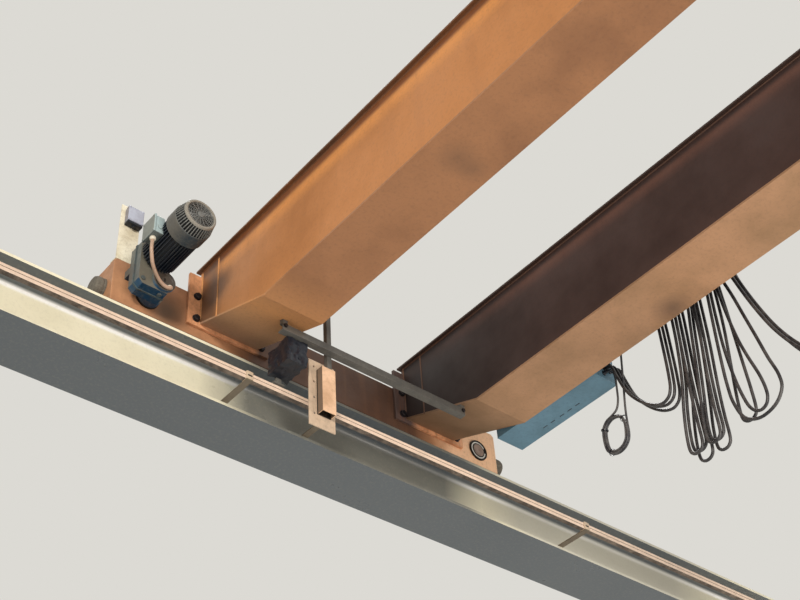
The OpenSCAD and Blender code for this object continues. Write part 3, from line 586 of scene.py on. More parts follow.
# %% [markdown]
# ## Buffers
# Each carriage end has a round rubber buffer that has gone soft and dusty. Its
# profile has a foot, a groove or two where it folds when it is hit, and a
# rounded face, so it is spun about the runway's direction.

# %% Rubber buffers
carriage_left, carriage_right, buffer_z = -1.0995, 1.1115, 0.463
short_buffer = [
    (0.0, 0.0), (0.0, 0.05), (0.006, 0.05), (0.008, 0.0465), (0.0115, 0.0465),
    (0.014, 0.049), (0.026, 0.05), (0.037, 0.0485), (0.045, 0.044), (0.0485, 0.036),
    (0.05, 0.024), (0.05, 0.0),
]
long_buffer = [
    (0.0, 0.0), (0.0, 0.05), (0.008, 0.05), (0.011, 0.0455), (0.016, 0.0455),
    (0.02, 0.049), (0.042, 0.05), (0.048, 0.046), (0.053, 0.046), (0.059, 0.0495),
    (0.08, 0.049), (0.092, 0.0445), (0.0985, 0.035), (0.1, 0.022), (0.1, 0.0),
]
make_piece(
    "rubber_buffers",
    [
        (turned(short_buffer, steps=40), to_left, (carriage_left, 0, buffer_z)),
        (turned(long_buffer, steps=40), to_right, (carriage_right, 0, buffer_z)),
    ],
    both_ends=True, replaced=["buffers"],
)

# %% [markdown]
# ## Wheel bearings
# A bearing sits in a cast ring on each side of the carriage. The ring's face is
# sunk between an outer and an inner rim, and in it lies a bright spring ring
# with open ends that keeps the axle in. The spring ring is part of a turn only,
# so its little block is spun as an open arc. The axle's end shows in the middle
# with the centre hole from the lathe, and it turns with the wheel.

# %% Bearing rings, in pairs at each wheel
def outwards(side):
    return to_front if side < 0 else to_back


bearing_face_y = 0.09
bearing_faces = [
    (outwards(side), (x, side * bearing_face_y, axle_z))
    for x in (drive_x, idle_x) for side in (-1, 1)
]
ring_profile = [
    (0.0, 0.0353), (0.0, 0.056), (0.0085, 0.056), (0.01, 0.0545), (0.01, 0.0515),
    (0.0045, 0.049), (0.0045, 0.038), (0.008, 0.0375), (0.008, 0.0353),
]
ring = turned(ring_profile, steps=48)
make_piece(
    "bearing_castings", [(ring, *face) for face in bearing_faces],
    both_ends=True, replaced=["bearing_rings"],
)

# %% Spring rings
spring = cube((0.0405, -0.001, 0.0047), (0.0465, 0.001, 0.0069))
end_face = [f for f in spring.faces if f.normal.y > 0.9]
bmesh.ops.spin(
    spring, geom=end_face, cent=(0, 0, 0), axis=(0, 0, 1), angle=math.radians(318), steps=36,
)
bmesh.ops.remove_doubles(spring, verts=spring.verts, dist=1e-6)
ear = block((0.033, -0.0045, 0.0045), (0.044, 0.0045, 0.007), edge=0.0008, rounds=1)
ring_turn = Matrix.Rotation(math.radians(35), 3, "Z")
for part in (spring, ear):
    bmesh.ops.rotate(part, cent=(0, 0, 0), matrix=ring_turn, verts=part.verts)
make_piece(
    "spring_rings",
    [(part, *face) for face in bearing_faces for part in (spring, ear)], both_ends=True,
)

# %% Axle ends, one piece to each wheel
axle_end = turned([
    (0.0, 0.0), (0.0, 0.0335), (0.0015, 0.0335), (0.0025, 0.032), (0.0025, 0.0085),
    (0.0005, 0.005), (0.0005, 0.0),
], steps=32)
axle_face_y = 0.0969
axle_faces = {
    "near_drive": (drive_x, 0.0, (1,)), "near_idle": (idle_x, 0.0, (-1, 1)),
    "far_drive": (drive_x, -span, (-1,)), "far_idle": (idle_x, -span, (-1, 1)),
}
axle_pieces = [
    make_piece(
        f"axle_ends_{wheel}",
        [(axle_end, outwards(side), (x, middle_y + side * axle_face_y, axle_z)) for side in sides],
        body=f"wheel_{wheel}",
    )
    for wheel, (x, middle_y, sides) in axle_faces.items()
]

# %% [markdown]
# ## Bolts
# Girders are bolted to the carriages through the ears of their end plates. A
# hexagon is a cone with six sides and equal radii, its top edges bevelled as on
# a forged head, on a round washer. The same set in a smaller size holds the
# sensor plate's foot and the collector bar.

# %% Bolt sets
girder_1_x, girder_2_x = -0.5195, 0.6555
bolt_aside, bolt_rows = 0.172, (0.439, 0.565)
washer = turned(
    [(0.0, 0.0), (0.0, 0.0185), (0.0032, 0.0185), (0.0038, 0.0178), (0.0038, 0.0)], steps=28,
)
head = hexagon(0.0165, 0.0112, 0.0016)
make_piece(
    "girder_bolt_sets",
    [
        (part, to_front, (x + aside, y, z))
        for x in (girder_1_x, girder_2_x) for aside in (-bolt_aside, bolt_aside)
        for z in bolt_rows for part, y in ((washer, -0.105), (head, -0.1088))
    ],
    both_ends=True, replaced=["girder_bolts"],
)

# %% Small bolts
small_washer = turned([(0.0, 0.0), (0.0, 0.01), (0.0018, 0.01), (0.0018, 0.0)], steps=20)
small_head = hexagon(0.0085, 0.007, 0.001)
small_bolts = []
for part, lift in ((small_washer, 0.0), (small_head, 0.0018)):
    small_bolts += [(part, upwards, (x, -0.06, 0.594 + lift)) for x in (-1.072, -1.02)]
    small_bolts += [(part, to_front, (x, -0.475 - lift, 0.248)) for x in (-0.482, 0.518)]
make_piece("small_bolts", small_bolts)

# %% [markdown]
# ## Welds
# A girder's box is closed by long fillet welds under its top flange, and the
# bent end of each girder is welded on with an upright bead, which shows as a
# fine line near each end. Rails are held by short stitches. All are bars with
# six sides: a cone whose two radii are equal, as long as the weld.

# %% Weld beads on the girders
def bead(radius, length, sides=6):
    part = bmesh.new()
    bmesh.ops.create_cone(
        part, cap_ends=True, segments=sides, radius1=radius, radius2=radius, depth=length,
    )
    bmesh.ops.translate(part, vec=(0, 0, length / 2), verts=part.verts)
    return part


girder_half_width, web_top, girder_end_y = 0.15, 0.725, -0.105
bend_y, bend_foot, end_foot = -0.233, 0.374, 0.44
web_faces = [
    x + side * girder_half_width for x in (girder_1_x, girder_2_x) for side in (-1, 1)
]
upright_beads = [
    (bead(radius, web_top - foot), upwards, (x, y, foot))
    for x in web_faces
    for radius, y, foot in ((0.004, bend_y, bend_foot), (0.005, girder_end_y, end_foot))
]
long_bead = bead(0.0045, span + 2 * girder_end_y)
make_piece(
    "girder_welds", upright_beads, both_ends=True,
    once=[(long_bead, to_front, (x, girder_end_y, web_top)) for x in web_faces],
)

# %% Stitches along the rails
stitch = bead(0.005, 0.06)
stitch_count, stitch_pitch, first_stitch_x = 22, 0.3, -3.21
make_piece(
    "rail_stitches",
    [
        (stitch, to_right, (first_stitch_x + stitch_pitch * k, middle_y + side * 0.0255, 0.2905))
        for middle_y in (0.0, -span) for side in (-1, 1) for k in range(stitch_count)
    ],
    body="runway",
)

# %% [markdown]
# ## The control cabinet
# The cabinet is a folded steel box beside the second girder. Its door faces
# away from the girder, with two hinges and two locks. Its floor has a row of
# narrow drain slots, and its back end has cable glands. The slots are shallow
# dark plates that paint the shade inside a slot, because the CAD box is never
# cut here.

# %% Cabinet door
cabinet_left, cabinet_right, cabinet_floor, cabinet_roof = 0.8155, 0.9805, 0.27, 0.47
door = block((0.98, -0.99, 0.285), (0.985, -0.407, 0.455), edge=0.0015)
hinge = bead(0.006, 0.06, sides=12)
lock = turned([(0.0, 0.0), (0.0, 0.013), (0.004, 0.013), (0.006, 0.011), (0.006, 0.0)], steps=20)
folds = [
    block(
        (cabinet_left, -1.0085, z - 0.0015), (cabinet_right, -0.3885, z + 0.0015),
        edge=0.001, rounds=1,
    )
    for z in (cabinet_floor, cabinet_roof)
]
make_piece(
    "cabinet_door",
    [
        [door],
        *[(hinge, to_front, (0.985, y, 0.456)) for y in (-0.955, -0.5)],
        *[(lock, to_right, (0.985, y, 0.3)) for y in (-0.85, -0.55)],
        *[[fold] for fold in folds],
    ],
)

# %% Drain slots and glands
gland = turned([
    (0.0, 0.0), (0.0, 0.013), (0.007, 0.013), (0.008, 0.011), (0.018, 0.0105),
    (0.02, 0.0085), (0.02, 0.0),
], steps=20)
drain_slot = block((0.934, -0.014, 0.268), (0.939, 0.014, 0.2692), edge=0.0004, rounds=1)
make_piece(
    "cabinet_glands",
    [
        *[(drain_slot, upwards, (0, y, 0)) for y in (-0.59, -0.64, -0.7, -0.75, -0.8)],
        *[(gland, to_back, (x, -0.39, 0.34)) for x in (0.85, 0.9, 0.948)],
    ],
)

# %% [markdown]
# Each cable leaves the cabinet through a gland with a tapered sleeve, so that it
# can't kink there. The same sleeves hold the cables at the last trolley.

# %% Tapered sleeves on the cables
def sleeve_on(diameter):
    bore = diameter / 2 + 0.0001
    profile = [
        (0.0, bore), (0.0, bore + 0.006), (0.006, bore + 0.006), (0.008, bore + 0.0042),
        (0.026, bore + 0.0014), (0.026, bore),
    ]
    return turned(profile, steps=20)


cable_sleeve = sleeve_on(cable_diameter)
tow_trolley_y = long_loop_y - long_loop_reach - saddle_radius
sleeves = []
for aside, _, _ in cable_sets:
    x = track_x + aside
    sleeves.append((cable_sleeve, to_front, (x, -1.007, 0.33)))
    sleeves.append((cable_sleeve, downwards, (x, tow_trolley_y + saddle_radius, saddle_z)))
sleeves.append((sleeve_on(spare_diameter), to_front, (strand_x, -1.007, 0.2995)))
make_piece("cable_sleeves", sleeves)

# %% [markdown]
# ## Trolley clamps and coil ties
# A bar with four bolts presses the cables on each saddle. Three ties of flat
# band keep the spare coil together. Each is a thin flat ring that is spun, and
# then turned so that the bundle runs through it.

# %% Clamps
clamps = []
for k in range(parked_trolleys):
    y = first_trolley_y - k * trolley_pitch
    clamps.append([block((0.869, y - 0.013, 0.5975), (0.962, y + 0.013, 0.6025), edge=0.0012)])
    clamps += [(small_head, upwards, (x, y, 0.602)) for x in (0.874, 0.9005, 0.9305, 0.957)]
clamps += [(small_head, to_left, (0.868, tow_trolley_y + s, 0.6)) for s in (0.06, 0.02)]
make_piece("cable_clamps", clamps)

# %% Ties
tie = turned(
    [(-0.003, 0.0155), (-0.003, 0.0167), (0.003, 0.0167), (0.003, 0.0155)], steps=20,
)
ties = []
for degrees in (20, 160, -50):
    a = math.radians(degrees)
    along = facing(0, -math.sin(a), math.cos(a))
    ties.append((tie, along, coil_point(strand_x, middle_bend, degrees)))
make_piece("coil_ties", ties)

# %% [markdown]
# ## The current collector
# Under the bar hangs the collector in its rubber shroud, crumpled with age, with
# a carbon shoe on the conductor line. The shroud is a block cut into a grid,
# and a smooth noise pushes its points in, so that folds catch the light. The
# noise is worked out from each point's place, so it is the same at every run.

# %% Shroud and shoe
shroud_low, shroud_high = Vector((-0.4595, -0.46, 0.095)), Vector((-0.3495, -0.306, 0.225))
middle = (shroud_low + shroud_high) / 2
shroud = cube(shroud_low, shroud_high)
bmesh.ops.subdivide_edges(shroud, edges=shroud.edges[:], cuts=15, use_grid_fill=True)
fold_depth, crease_depth, least_reach = 0.012, 0.01, 0.03
for vert in shroud.verts:
    place = vert.co
    fold = noise.noise(Vector((place.x * 38, place.y * 30, place.z * 15)))
    crease = abs(noise.noise(Vector((place.x * 70 + 4, place.y * 55, place.z * 42))))
    inwards = fold_depth * (0.5 + 0.5 * fold) + crease_depth * crease
    reach = place - middle
    vert.co = middle + reach * (1 - inwards / max(reach.length, least_reach))
make_piece(
    "collector_shroud", [[shroud]], replaced=["collector_head"],
    sharp_degrees=28,
)
shoe_blocks = [
    ((-0.432, -0.328, 0.0665), (-0.377, -0.308, 0.076)),
    ((-0.418, -0.324, 0.075), (-0.391, -0.312, 0.108)),
    ((-0.45, -0.448, 0.215), (-0.36, -0.43, 0.232)),
]
make_piece("collector_shoe", [[block(low, high)] for low, high in shoe_blocks])

# %% [markdown]
# ## Conductor clips
# The conductor line is snapped into a pale plastic clip on each arm. The clip
# wraps the CAD's own one with rounded edges, and has a dark key in its face.

# %% Clips
conductor_y = -0.318
arm_places = (-2.5472, -0.5572, -0.1393, 1.4328)
clip_blocks = [
    block((-0.017, -0.0175, 0.0185), (0.017, 0.0175, 0.059), edge=0.003),
    block((-0.008, -0.012, 0.056), (0.008, 0.012, 0.065), edge=0.002),
]
clip_key = block((-0.011, -0.019, 0.033), (0.011, -0.0165, 0.04), edge=0.0008, rounds=1)
clips, clip_bolts = [], []
for x in arm_places:
    clips += [(part, upwards, (x, conductor_y, 0)) for part in clip_blocks]
    clip_bolts.append((clip_key, upwards, (x, conductor_y, 0)))
    clip_bolts.append((small_head, downwards, (x, -0.13, 0.014)))
make_piece("conductor_clips", clips, body="runway")
make_piece("clip_bolts", clip_bolts, body="runway")

# %% [markdown]
# ## Softened edges
# A real plate has no knife edges. Weld joins the loose triangles of a CAD node,
# and Bevel then rounds only the edges between faces that meet at an angle. The
# CAD mesh itself stays as it was.

# %% Round the edges of plates and boxes
softened = {
    "carriage_near": 2.5, "carriage_far": 2.5, "girder_end_plates": 2.0,
    "girder_1_top_flange": 1.5, "girder_2_top_flange": 1.5,
    "gear_unit_near": 2.0, "gear_unit_far": 2.0, "sensor_plate": 1.0,
    "collector_bar": 1.0, "collector_post": 1.5, "collector_plate": 1.0, "towing_tube": 1.2,
    "control_cabinet": 2.5, "cabinet_brackets": 1.0, "festoon_brackets": 1.0,
    "rail_near": 3.0, "rail_far": 3.0, "crab_rails": 2.0, "conductor_brackets": 0.8,
}
for name, millimetres in softened.items():
    joined = nodes[name].modifiers.new("joined", "WELD")
    joined.merge_threshold = 0.00001
    rounded = nodes[name].modifiers.new("rounded", "BEVEL")
    rounded.width = millimetres / 1000
    rounded.segments = 2
    rounded.limit_method = "ANGLE"
    rounded.angle_limit = math.radians(35)
print("rounded", len(softened), "CAD nodes")

# %% [markdown]
# ## Stage and light
# The crane hangs in plain pale air over a plain pale floor. One large soft sun
# stands low at the left, as the shop's windows do, and a second one from above
# lights the floor, whose glow reaches the undersides. Two soft boxes stand below
# the bridge and light what looks down. The world gives the rest. The floor lies
# low enough to keep both boxes above it.

# %% Floor
floor_level, floor_half = -6.4, 45.0
floor_mesh = bmesh.new()
bmesh.ops.create_grid(floor_mesh, x_segments=1, y_segments=1, size=floor_half)
bmesh.ops.translate(floor_mesh, verts=floor_mesh.verts, vec=(0.0, -span / 2, floor_level))
floor_data = bpy.data.meshes.new("pale_floor")
floor_mesh.to_mesh(floor_data)
floor_mesh.free()
floor = bpy.data.objects.new("pale_floor", floor_data)
scene.collection.objects.link(floor)

# %% Lights
def add_light(name, kind, towards, place, power, colour, **settings):
    light = bpy.data.lights.new(name, kind)
    light.energy = power
    light.color = colour
    for key, value in settings.items():
        setattr(light, key, value)
    lamp = bpy.data.objects.new(name, light)
    lamp.rotation_mode = "QUATERNION"
    lamp.location = place
    lamp.rotation_quaternion = Vector(towards).to_track_quat("Z", "Y")
    lamp.visible_camera = False
    scene.collection.objects.link(lamp)


def add_softbox(name, place, aim, size, watts, colour):
    away = Vector(place) - Vector(aim)
    add_light(name, "AREA", away, place, watts, colour, shape="DISK", size=size)


window_width, roof_width = math.radians(12), math.radians(30)
window_side, roof_side = (-0.7, -0.71, 0.04), (0.3, 0.35, 0.9)
add_light("window_light", "SUN", window_side, (0, 0, 0), 2.3, (1.0, 0.94, 0.85), angle=window_width)
add_light("roof_light", "SUN", roof_side, (0, 0, 0), 1.6, (0.96, 0.98, 1.0), angle=roof_width)
add_softbox("low_softbox", (-1.0, -6.5, -4.2), (0.6, -0.8, 0.3), 4.0, 160.0, (1.0, 0.94, 0.86))
add_softbox("right_softbox", (3.2, -4.6, -2.4), (0.9, -0.2, 0.4), 2.0, 80.0, (1.0, 0.94, 0.88))

scene.view_settings.view_transform = "Standard"

# %% [markdown]
# ## Materials
# Every colour is written as an sRGB hex value, because that is what a picker
# shows, and one function turns it to the linear values that shaders need. One
# more function adds a node, sets it and links it. A pattern's scale is worked
# out from a size in millimetres on the real thing.

# %% Helpers for materials
def linear(hex_colour):
    def channel(v):
        return v / 12.92 if v <= 0.04045 else ((v + 0.055) / 1.055) ** 2.4

    code = hex_colour.lstrip("#")
    return tuple(channel(int(code[i : i + 2], 16) / 255) for i in (0, 2, 4)) + (1.0,)


def add(tree, kind, inputs=(), **settings):
    made = tree.nodes.new("ShaderNode" + kind)
    for name, value in settings.items():
        setattr(made, name, value)
    for key, value in dict(inputs).items():
        if isinstance(value, bpy.types.NodeSocket):
            tree.links.new(value, made.inputs[key])
        else:
            made.inputs[key].default_value = value
    return made


def per_metre(millimetres):
    return 1000.0 / millimetres


def blank(name, roughness, metallic=0.0):
    material = bpy.data.materials.new(name)
    material.use_nodes = True
    tree = material.node_tree
    shader = tree.nodes["Principled BSDF"]
    shader.inputs["Roughness"].default_value = roughness
    shader.inputs["Metallic"].default_value = metallic
    place = add(tree, "TexCoord").outputs["Object"]
    return material, tree, shader, place


def wear(material, *names):
    for name in names:
        dressed = nodes[name] if name in nodes else scene.objects[name]
        dressed.data.materials.clear()
        dressed.data.materials.append(material)


# %% World and floor
world = bpy.data.worlds.new("pale_air")
scene.world = world
world.use_nodes = True
air = world.node_tree
air.nodes.clear()
rays = add(air, "LightPath").outputs
seen = add(air, "Math", {0: rays["Is Camera Ray"], 1: rays["Is Glossy Ray"]}, operation="MAXIMUM")
glow = add(air, "Background", {"Color": linear("#f2f0ea"), "Strength": 0.34})
backdrop = add(air, "Background", {"Color": linear("#dcdad4"), "Strength": 1.0})
either = add(air, "MixShader", {0: seen.outputs[0], 1: glow.outputs[0], 2: backdrop.outputs[0]})
add(air, "OutputWorld", {"Surface": either.outputs[0]})

# Sealed screed is pale and dull, so it sends a soft glow up and no mirror image.
floor_material, tree, shader, place = blank("sealed_screed", 0.7)
shader.inputs["Base Color"].default_value = linear("#dcd8d0")
floor_data.materials.append(floor_material)

# %% [markdown]
# ### Enamel on steel
# The crane and its runway are rolled and welded steel under brushed alkyd
# enamel. Enamel is a dielectric coat, so it isn't metallic. Years of shop dust
# lie in soft patches, drips run down the webs, and fine grit breaks the gloss.
# Three noises do it: a wide one for the patches, one that is stretched upright
# for the drips, and a fine one for the grit.
# Painted shade, painted highlights and a few real stains have their own places,
# such as the girders' ends. So a shade is a tint with a place: it grows around a
# middle along one axis, in a spot round a point, or on the faces that look one
# way. The patches make the edge of a shade ragged.

# %% A tint that grows with a value
def tinted(tree, colour, value, start, full, tint, most):
    rows = {"Value": value, "From Min": start, "From Max": full, "To Max": most}
    share = add(tree, "MapRange", rows).outputs[0]
    return add(tree, "Mix", {0: share, 6: colour, 7: linear(tint)}, data_type="RGBA").outputs[2]


def finish_surface(tree, shader, colour, grain, strength, height):
    bump = add(tree, "Bump", {"Strength": strength, "Distance": height, "Height": grain})
    tree.links.new(colour, shader.inputs["Base Color"])
    tree.links.new(bump.outputs[0], shader.inputs["Normal"])


# %% The enamel recipe
def enamel(
    name, paint, grime, grit, patch_mm=420, patch_share=0.35, grit_share=0.3,
    roughness=0.42, drip_mm=None, drip_share=0.5, shades=(),
):
    material, tree, shader, place = blank(name, roughness)
    wide = {"Vector": place, "Scale": per_metre(patch_mm), "Detail": 5.0, "Roughness": 0.6}
    patches = add(tree, "TexNoise", wide).outputs["Fac"]
    axes = add(tree, "SeparateXYZ", {"Vector": place}).outputs
    normal = add(tree, "NewGeometry").outputs["Normal"]
    faces = add(tree, "SeparateXYZ", {"Vector": normal}).outputs
    edge = 0.62 - 0.3 * patch_share
    colour = tinted(tree, linear(paint), patches, edge - 0.12, edge + 0.16, grime, 0.75)
    for way, axis, middle, start, full, tint, most in shades:
        if way == "faces":
            value = faces[axis]
        elif way == "spot":
            far = add(tree, "VectorMath", {0: place, 1: middle}, operation="DISTANCE")
            value = far.outputs["Value"]
        else:
            aside = add(tree, "Math", {0: axes[axis], 1: middle}, operation="SUBTRACT").outputs[0]
            value = add(tree, "Math", {0: aside}, operation="ABSOLUTE").outputs[0]
        if way != "faces":
            ragged = {0: patches, 1: abs(start - full) * 0.5, 2: value}
            value = add(tree, "Math", ragged, operation="MULTIPLY_ADD").outputs[0]
        colour = tinted(tree, colour, value, start, full, tint, most)
    if drip_mm:
        thin, long = per_metre(drip_mm), per_metre(drip_mm * 14)
        lean = add(tree, "Mapping", {"Vector": place, "Scale": (thin, thin, long)}).outputs[0]
        runs = {"Vector": lean, "Scale": 1.0, "Detail": 3.0, "Roughness": 0.5}
        drips = add(tree, "TexNoise", runs).outputs["Fac"]
        colour = tinted(tree, colour, drips, 0.52, 0.78, grime, drip_share)
    small = {"Vector": place, "Scale": per_metre(14), "Detail": 4.0, "Roughness": 0.7}
    fine = add(tree, "TexNoise", small).outputs["Fac"]
    colour = tinted(tree, colour, fine, 0.5, 0.75, grit, grit_share)
    gloss = {"Value": patches, "From Min": 0.35, "From Max": 0.7}
    gloss.update({"To Min": roughness - 0.06, "To Max": roughness + 0.22})
    dull = add(tree, "MapRange", gloss).outputs[0]
    tree.links.new(dull, shader.inputs["Roughness"])
    finish_surface(tree, shader, colour, fine, 0.35, 0.0006)
    return material


# %% [markdown]
# Orange enamel covers the crane. The web of a girder is painted dark under the lip
# of its flange, as painted shadow, with a strip below it painted warm and bright as
# a painted highlight. The second girder's web is painted almost black, as the shade
# that the first girder casts on it.

# %% Orange crane enamel
x_axis, y_axis, z_axis = 0, 1, 2
mid_span = -span / 2
# where the second girder stands, its parts are painted dark as its shade
girder_2_shade_zone = ("place", x_axis, girder_2_x, 0.36, 0.26)
spot_under_gear = (-0.83, -0.13, 0.42)
scuff_1, scuff_2, scuff_3 = (-0.536, -1.615, 0.24), (-0.448, -1.607, 0.24), (0.753, -1.534, 0.24)
# Brushed alkyd enamel, sun-bleached: a warm orange, painted darker towards the ends as shade.
wear(enamel(
    "orange_alkyd_enamel", "#c38045", "#a2693a", "#7a5538", patch_mm=500, patch_share=0.25,
    drip_mm=80, drip_share=0.25,
    shades=[
        # painted shade towards the ends
        ("place", y_axis, mid_span, 4.4, 4.8, "#a07048", 0.5),
        # painted highlight: a warm bright strip below the flange
        ("place", z_axis, 0.65, 0.09, 0.01, "#f0a052", 0.6),
        # painted shadow under the flange's lip
        ("place", z_axis, web_top, 0.062, 0.038, "#6d3c1e", 0.92),
        # painted shadow of the end plate's ear near the girder's end
        ("place", y_axis, mid_span, 4.74, 4.82, "#57463c", 0.7),
    ],
), "girder_1_webs")
# The welds wear the same coat painted paler, a painted highlight along each bead, so
# the seam reads as a pale line; painted shadow darkens the long bead under the lip,
# and painted shade darkens the welds on the second girder.
wear(enamel(
    "weld_orange_enamel", "#d89a62", "#a2693a", "#7a5538", patch_mm=60,
    shades=[
        # painted shadow under the flange's lip
        ("place", z_axis, web_top, 0.02, 0.01, "#5a3420", 0.9),
        # painted shade on the second girder
        (*girder_2_shade_zone, "#553c30", 0.95),
    ],
), "girder_welds")
# The carriages are handled and bleached, so their orange is pinker. The middle,
# between the girders, is painted dark as shade, the right end is painted bright as a
# pool of light, and it is darker round a spot under the gear unit.
wear(enamel(
    "carriage_orange_enamel", "#c08d68", "#96694c", "#7a5538", patch_mm=220, patch_share=0.3,
    drip_mm=50, drip_share=0.35,
    shades=[
        # painted shade between the girders
        ("place", x_axis, 0.09, 0.64, 0.5, "#46312a", 0.88),
        # painted light: a bright pool on the right end
        ("place", x_axis, 1.2, 0.56, 0.42, "#fccba2", 0.95),
        # darker round a spot under the gear unit
        ("spot", None, spot_under_gear, 0.17, 0.07, "#40382f", 0.85),
    ],
), "carriage_near", "carriage_far")
# The second girder's web is painted dark brown as the shade that the first girder
# casts on it, with a painted red-brown highlight strip under its flange, a painted
# shadow under the lip and painted shade towards its ends; its gloss is duller.
wear(enamel(
    "girder_2_shaded_enamel", "#4b2e25", "#38241f", "#2a1d1d", patch_mm=500, patch_share=0.25,
    roughness=0.55, drip_mm=90, drip_share=0.3,
    shades=[
        # painted highlight strip below the flange
        ("place", z_axis, 0.672, 0.07, 0.01, "#7e5444", 0.55),
        # painted shadow under the flange's lip
        ("place", z_axis, web_top, 0.046, 0.026, "#33221e", 0.92),
        # painted shade towards the ends
        ("place", y_axis, mid_span, 4.1, 4.85, "#241b1a", 0.85),
    ],
), "girder_2_webs")
# The flanges hold dust on top, and their coat is painted dark brown as the shade under
# the lip, so a dark rim caps each web; on the second girder it is painted darker still.
wear(enamel(
    "flange_orange_enamel", "#7a4f30", "#4a3426", "#3a2c26", patch_mm=300,
    # painted shade on the second girder
    shades=[(*girder_2_shade_zone, "#3a2a25", 0.95)],
), "girder_1_top_flange", "girder_2_top_flange")
# The underside is a calm, duller orange, painted lighter where the box bends upward
# as a painted highlight, and greyer towards its end.
wear(enamel(
    "soffit_orange_enamel", "#a8754f", "#83593c", "#624a3a", patch_share=0.3,
    shades=[
        # painted highlight where the box bends upward
        ("place", y_axis, mid_span, 4.3, 4.6, "#d0945f", 0.85),
        ("place", y_axis, mid_span, 4.62, 4.94, "#a58a74", 0.85),
        ("spot", None, scuff_1, 0.12, 0.02, "#5c4636", 0.45),
        ("spot", None, scuff_2, 0.09, 0.01, "#5c4636", 0.45),
    ],
), "girder_1_soffit")
# The second underside is painted paler and yellower, as the light from below falls
# on it, so the two girders part in the picture; it is darker towards its end.
wear(enamel(
    "pale_lit_soffit_enamel", "#bc8f6c", "#91704f", "#6e5644", patch_share=0.3,
    shades=[
        ("place", y_axis, mid_span, 4.45, 4.93, "#75604c", 0.7),
        ("spot", None, scuff_3, 0.13, 0.03, "#4a3c36", 0.6),
    ],
), "girder_2_soffit")
# The bolted ears are bright orange with brown runs; the ears between the girders are
# painted dark as shade.
wear(enamel(
    "bright_ear_orange_enamel", "#e8a87c", "#8a5634", "#5a4032", patch_mm=90,
    drip_mm=22, drip_share=0.6,
    shades=[
        # painted shade on the ears between the girders
        ("place", x_axis, -0.3, 0.09, 0.06, "#40322c", 0.92),
        ("place", x_axis, 0.45, 0.16, 0.1, "#4a4244", 0.92),
    ],
), "girder_end_plates")

# %% [markdown]
# The runway beam is cream. The rounded root under the top flange is painted white as
# a painted highlight, and the faces that look down are painted dark blue-grey: painted
# shade under the top flange, and the same tone on the soffit. The middle of the beam,
# where the bridge mostly stands, is painted dark as the bridge's shade, and the right
# part greyer as shade. Dust greys the faces that look up.

# %% Cream runway enamel
# Cream gloss enamel: a painted highlight on the root, a soft web, painted shade on the
# faces that look down and along the middle and right of the beam, dust on the tops.
wear(enamel(
    "cream_alkyd_enamel", "#ebe6ce", "#d2ccb2", "#a8a28e", patch_mm=700, patch_share=0.2,
    grit_share=0.2, roughness=0.3,
    shades=[
        # painted highlight on the rounded root
        ("faces", z_axis, 0, -0.05, -0.4, "#ffffff", 1.0),
        # painted shade on the right part of the beam
        ("place", x_axis, 1.9, 1.1, 0.7, "#b8b6ac", 0.75),
        # painted shade of the bridge in the middle of the beam
        ("place", x_axis, 0.25, 0.9, 0.64, "#626461", 0.93),
        # painted shade on the faces that look down
        ("faces", z_axis, 0, -0.62, -0.93, "#60676d", 1.0),
        ("faces", z_axis, 0, 0.3, 0.9, "#8a8678", 0.8),
    ],
), "runway_beam_near", "runway_beam_far")

# %% Small painted parts
# Blue gear enamel; the faces that look front and left are grey-beige, and the faces
# that look down are painted darker blue as shade.
wear(enamel(
    "blue_gear_enamel", "#1b5f8e", "#3f6478", "#7c7a6c", patch_mm=70, patch_share=0.3,
    grit_share=0.5, roughness=0.34,
    shades=[
        ("faces", y_axis, 0, -0.5, -0.9, "#6e685a", 0.95),
        ("faces", x_axis, 0, -0.6, -0.95, "#5c5f58", 0.9),
        # painted shade on the faces that look down
        ("faces", z_axis, 0, -0.5, -0.9, "#0f3550", 0.9),
    ],
), "gear_unit_near", "gear_unit_far")
# The output cap is wiped by oil, so it's a darker and patchier blue-grey.
wear(enamel(
    "worn_gear_cap_enamel", "#4b5d62", "#40362e", "#6c6458", patch_mm=30, grit_share=0.5,
    shades=[("place", y_axis, mid_span, 4.7745, 4.7722, "#453d36", 0.95)],
), "gear_unit_details")
# Navy enamel on cast fins is almost black, which makes the motor the darkest large form.
wear(
    enamel("navy_motor_enamel", "#171f2c", "#252b33", "#55585a", patch_mm=80, roughness=0.36),
    "drive_motor_near", "drive_motor_far",
)
# The pressed cover is navy with dust; its left, where the window light falls, is
# painted grey as a painted sheen, and its end ring is pale.
wear(enamel(
    "dusty_and_sheen_fan_cover_enamel", "#26323c", "#4f4f4c", "#706d66", patch_mm=60, patch_share=0.3,
    grit_share=0.5,
    shades=[
        # painted sheen on the side the window light falls on
        ("faces", x_axis, 0, -0.15, -0.85, "#605d57", 0.8),
        ("place", y_axis, mid_span, 4.466, 4.462, "#99948a", 0.8),
    ],
), "fan_cover_sleeves")
# The ribs are a pale grey, so the grille stands out from its dark inside.
wear(
    enamel("pale_rib_enamel", "#7d7e7c", "#4c4f50", "#96958e", patch_mm=25, patch_share=0.4),
    "fan_cover_ribs",
)
# A flat cream plate in full light is the brightest piece, with a few dirty patches.
wear(
    enamel("cream_plate_enamel", "#fdf6e0", "#d2c5a6", "#9c8f74", patch_mm=70, grit_share=0.4),
    "sensor_plate",
)
# The plate's tan coat is chalky and has no gloss left.
wear(
    enamel("tan_plate_enamel", "#c9b29b", "#b09c88", "#84735f", patch_mm=60, grit_share=0.4),
    "collector_plate",
)
